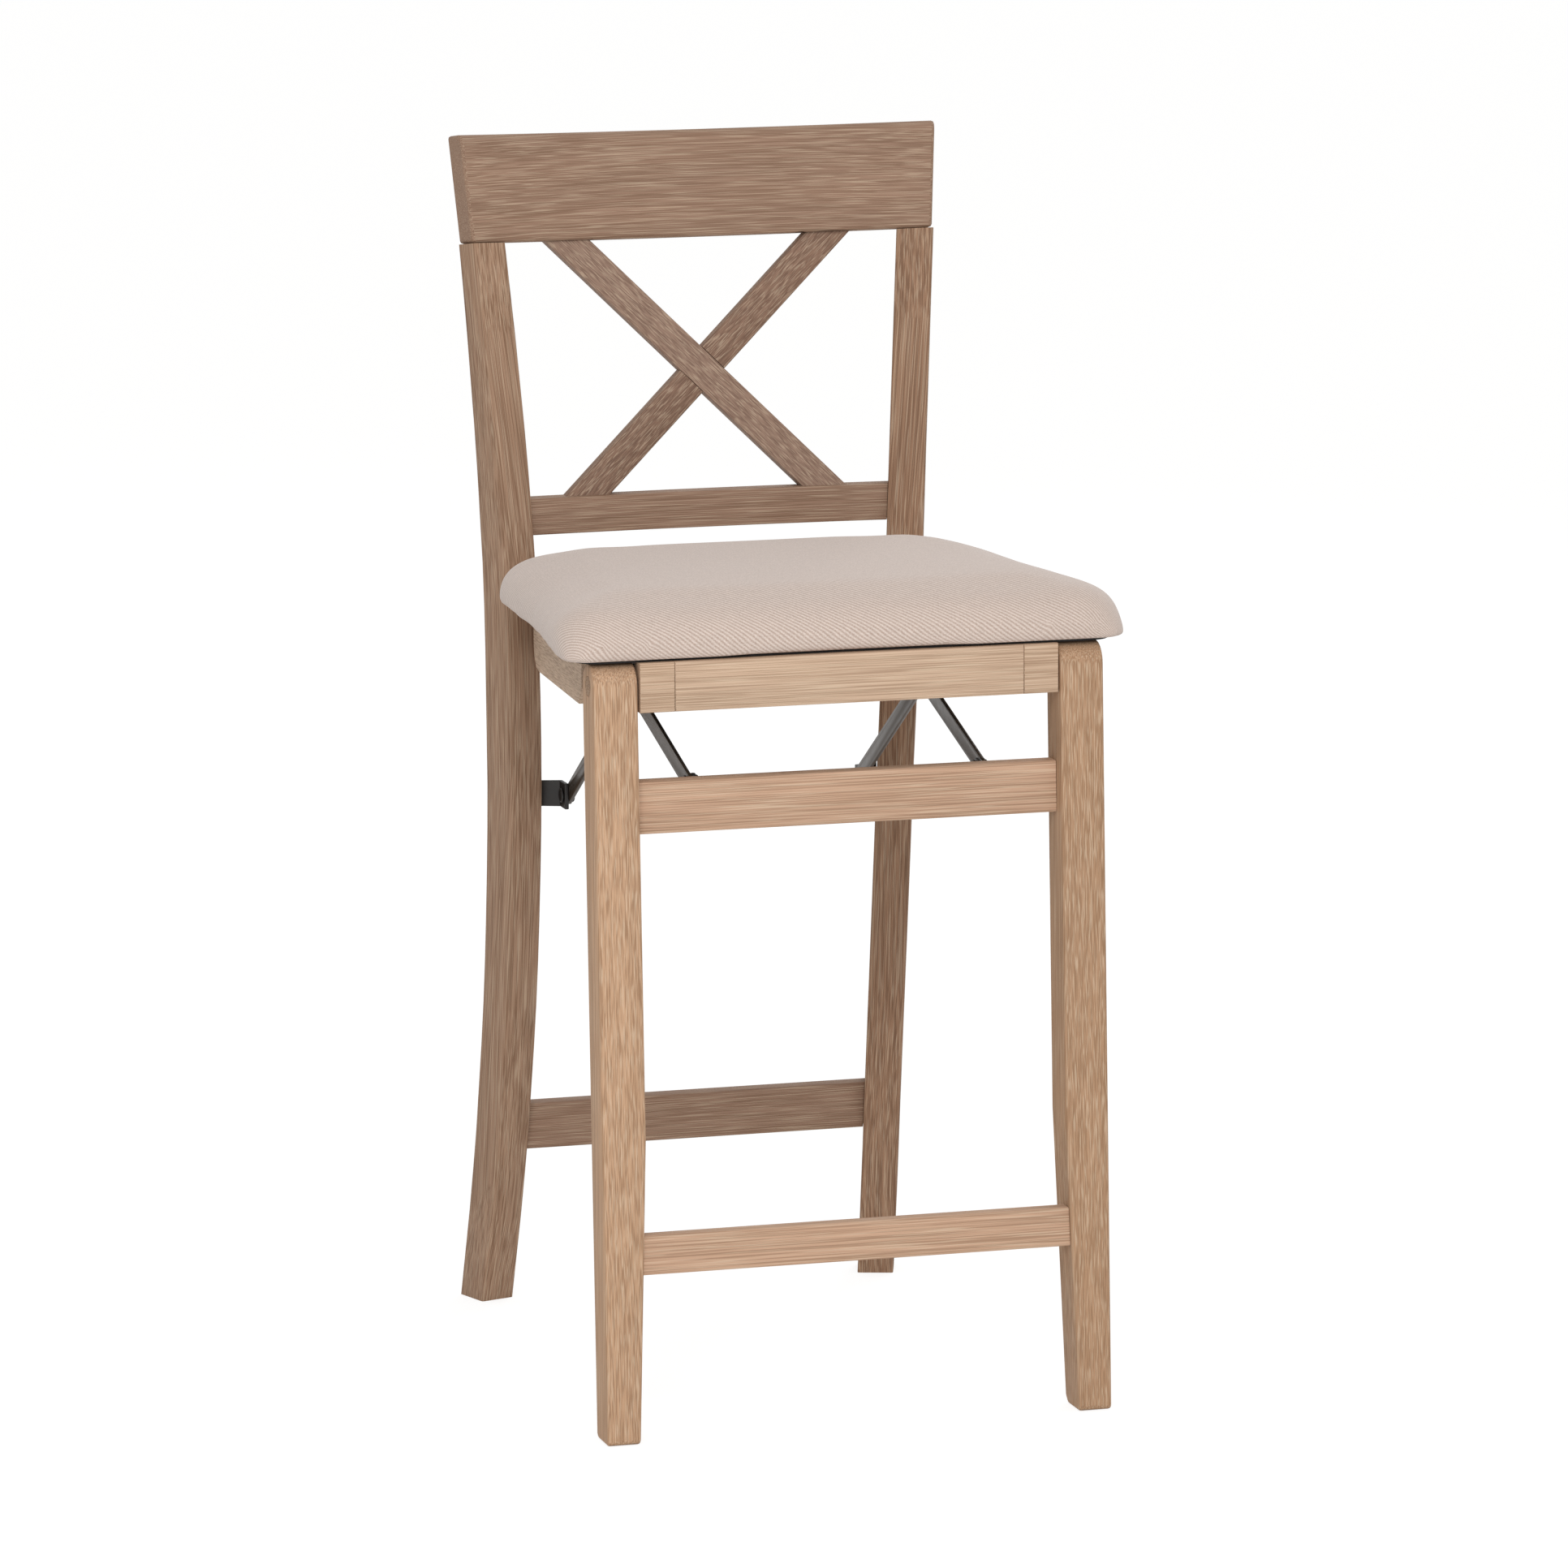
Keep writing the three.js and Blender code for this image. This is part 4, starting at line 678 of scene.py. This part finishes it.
# Studio: a pale floor and a white surround, a large soft lamp in front to the left, a weaker one behind.
# The camera stands where the photograph was taken from: far off, a little above the seat.
FLOOR_SIZE = 60.0
PAPER_GLOW = 1.22
PAPER_SHADE = 0.35  # how much of the light and shadow on the paper shows, beside that glow
AMBIENT_LIGHT = 0.62
BACKDROP_LIGHT = 1.0  # white, and seen only by the camera and in gloss
LAMP_AIM = Vector((0, 0, 0.45))
CAMERA_DISTANCE = 6.225
CAMERA_LENS = 191.3
CAMERA_SENSOR = 36.0
CAMERA_TARGET = Vector((2.7, -49.2, 444.9)) * MM
CAMERA_AZIMUTH = math.radians(16.06)
CAMERA_ELEVATION = math.radians(9.73)
CAMERA_ROLL = math.radians(-0.28)

bpy.ops.mesh.primitive_plane_add(size=FLOOR_SIZE)
floor = bpy.context.active_object
floor.name = "studio_floor"
paper, tree, shader = new_material("Paper sweep, floor")
shader.inputs["Base Color"].default_value = linear("#F2F1EF")
shader.inputs["Roughness"].default_value = 0.9


def seen_rays(tree):
    """One where the camera looks, straight on or in a gloss or glass, and nought elsewhere."""
    rays = add_node(tree, "ShaderNodeLightPath")
    glossy = add_node(tree, "ShaderNodeMath", {"operation": "MAXIMUM"}, {
        0: rays.outputs["Is Camera Ray"], 1: rays.outputs["Is Glossy Ray"]})
    return add_node(tree, "ShaderNodeMath", {"operation": "MAXIMUM"}, {
        0: glossy.outputs[0], 1: rays.outputs["Is Transmission Ray"]}).outputs[0]


glow = add_node(tree, "ShaderNodeEmission", inputs={"Color": linear("#FFFFFF"), "Strength": PAPER_GLOW})
lit = add_node(tree, "ShaderNodeMixShader", inputs={
    0: PAPER_SHADE, 1: glow.outputs[0], 2: shader.outputs[0]})
seen_paper = add_node(tree, "ShaderNodeMixShader", inputs={
    0: seen_rays(tree), 1: shader.outputs[0], 2: lit.outputs[0]})
tree.links.new(seen_paper.outputs[0], tree.nodes["Material Output"].inputs["Surface"])
paint(floor, paper)

world = bpy.data.worlds.new("studio")
bpy.context.scene.world = world
world.use_nodes = True
tree = world.node_tree
tree.nodes.clear()
ambient = add_node(tree, "ShaderNodeBackground", inputs={
    "Color": linear("#FFFFFF"), "Strength": AMBIENT_LIGHT})
backdrop = add_node(tree, "ShaderNodeBackground", inputs={
    "Color": linear("#FFFFFF"), "Strength": BACKDROP_LIGHT})
surround = add_node(tree, "ShaderNodeMixShader", inputs={
    0: seen_rays(tree), 1: ambient.outputs[0], 2: backdrop.outputs[0]})
add_node(tree, "ShaderNodeOutputWorld", inputs={"Surface": surround.outputs[0]})


def soft_lamp(name, place, power, size):
    """A square lamp aimed at the seat, its power in watts and its side in metres."""
    lamp = bpy.data.lights.new(name, "AREA")
    lamp.energy = power
    lamp.size = size
    holder = bpy.data.objects.new(name, lamp)
    bpy.context.scene.collection.objects.link(holder)
    holder.location = place
    holder.rotation_euler = (LAMP_AIM - Vector(place)).to_track_quat("-Z", "Y").to_euler()


soft_lamp("key_lamp", place=(-0.8, -3.0, 2.2), power=58, size=1.8)
soft_lamp("rim_lamp", place=(2.2, 2.4, 2.4), power=22, size=1.6)

camera_data = bpy.data.cameras.new("photo_camera")
camera_data.lens = CAMERA_LENS
camera_data.sensor_width = CAMERA_SENSOR
camera_data.clip_end = 100
camera = bpy.data.objects.new("photo_camera", camera_data)
bpy.context.scene.collection.objects.link(camera)
back = Vector((-math.sin(CAMERA_AZIMUTH) * math.cos(CAMERA_ELEVATION),
               -math.cos(CAMERA_AZIMUTH) * math.cos(CAMERA_ELEVATION), math.sin(CAMERA_ELEVATION)))
camera.location = CAMERA_TARGET + back * CAMERA_DISTANCE
camera.rotation_euler = (-back).to_track_quat("-Z", "Y").to_euler()
camera.rotation_euler.rotate_axis("Z", CAMERA_ROLL)
bpy.context.scene.camera = camera
bpy.context.scene.view_settings.view_transform = "Standard"
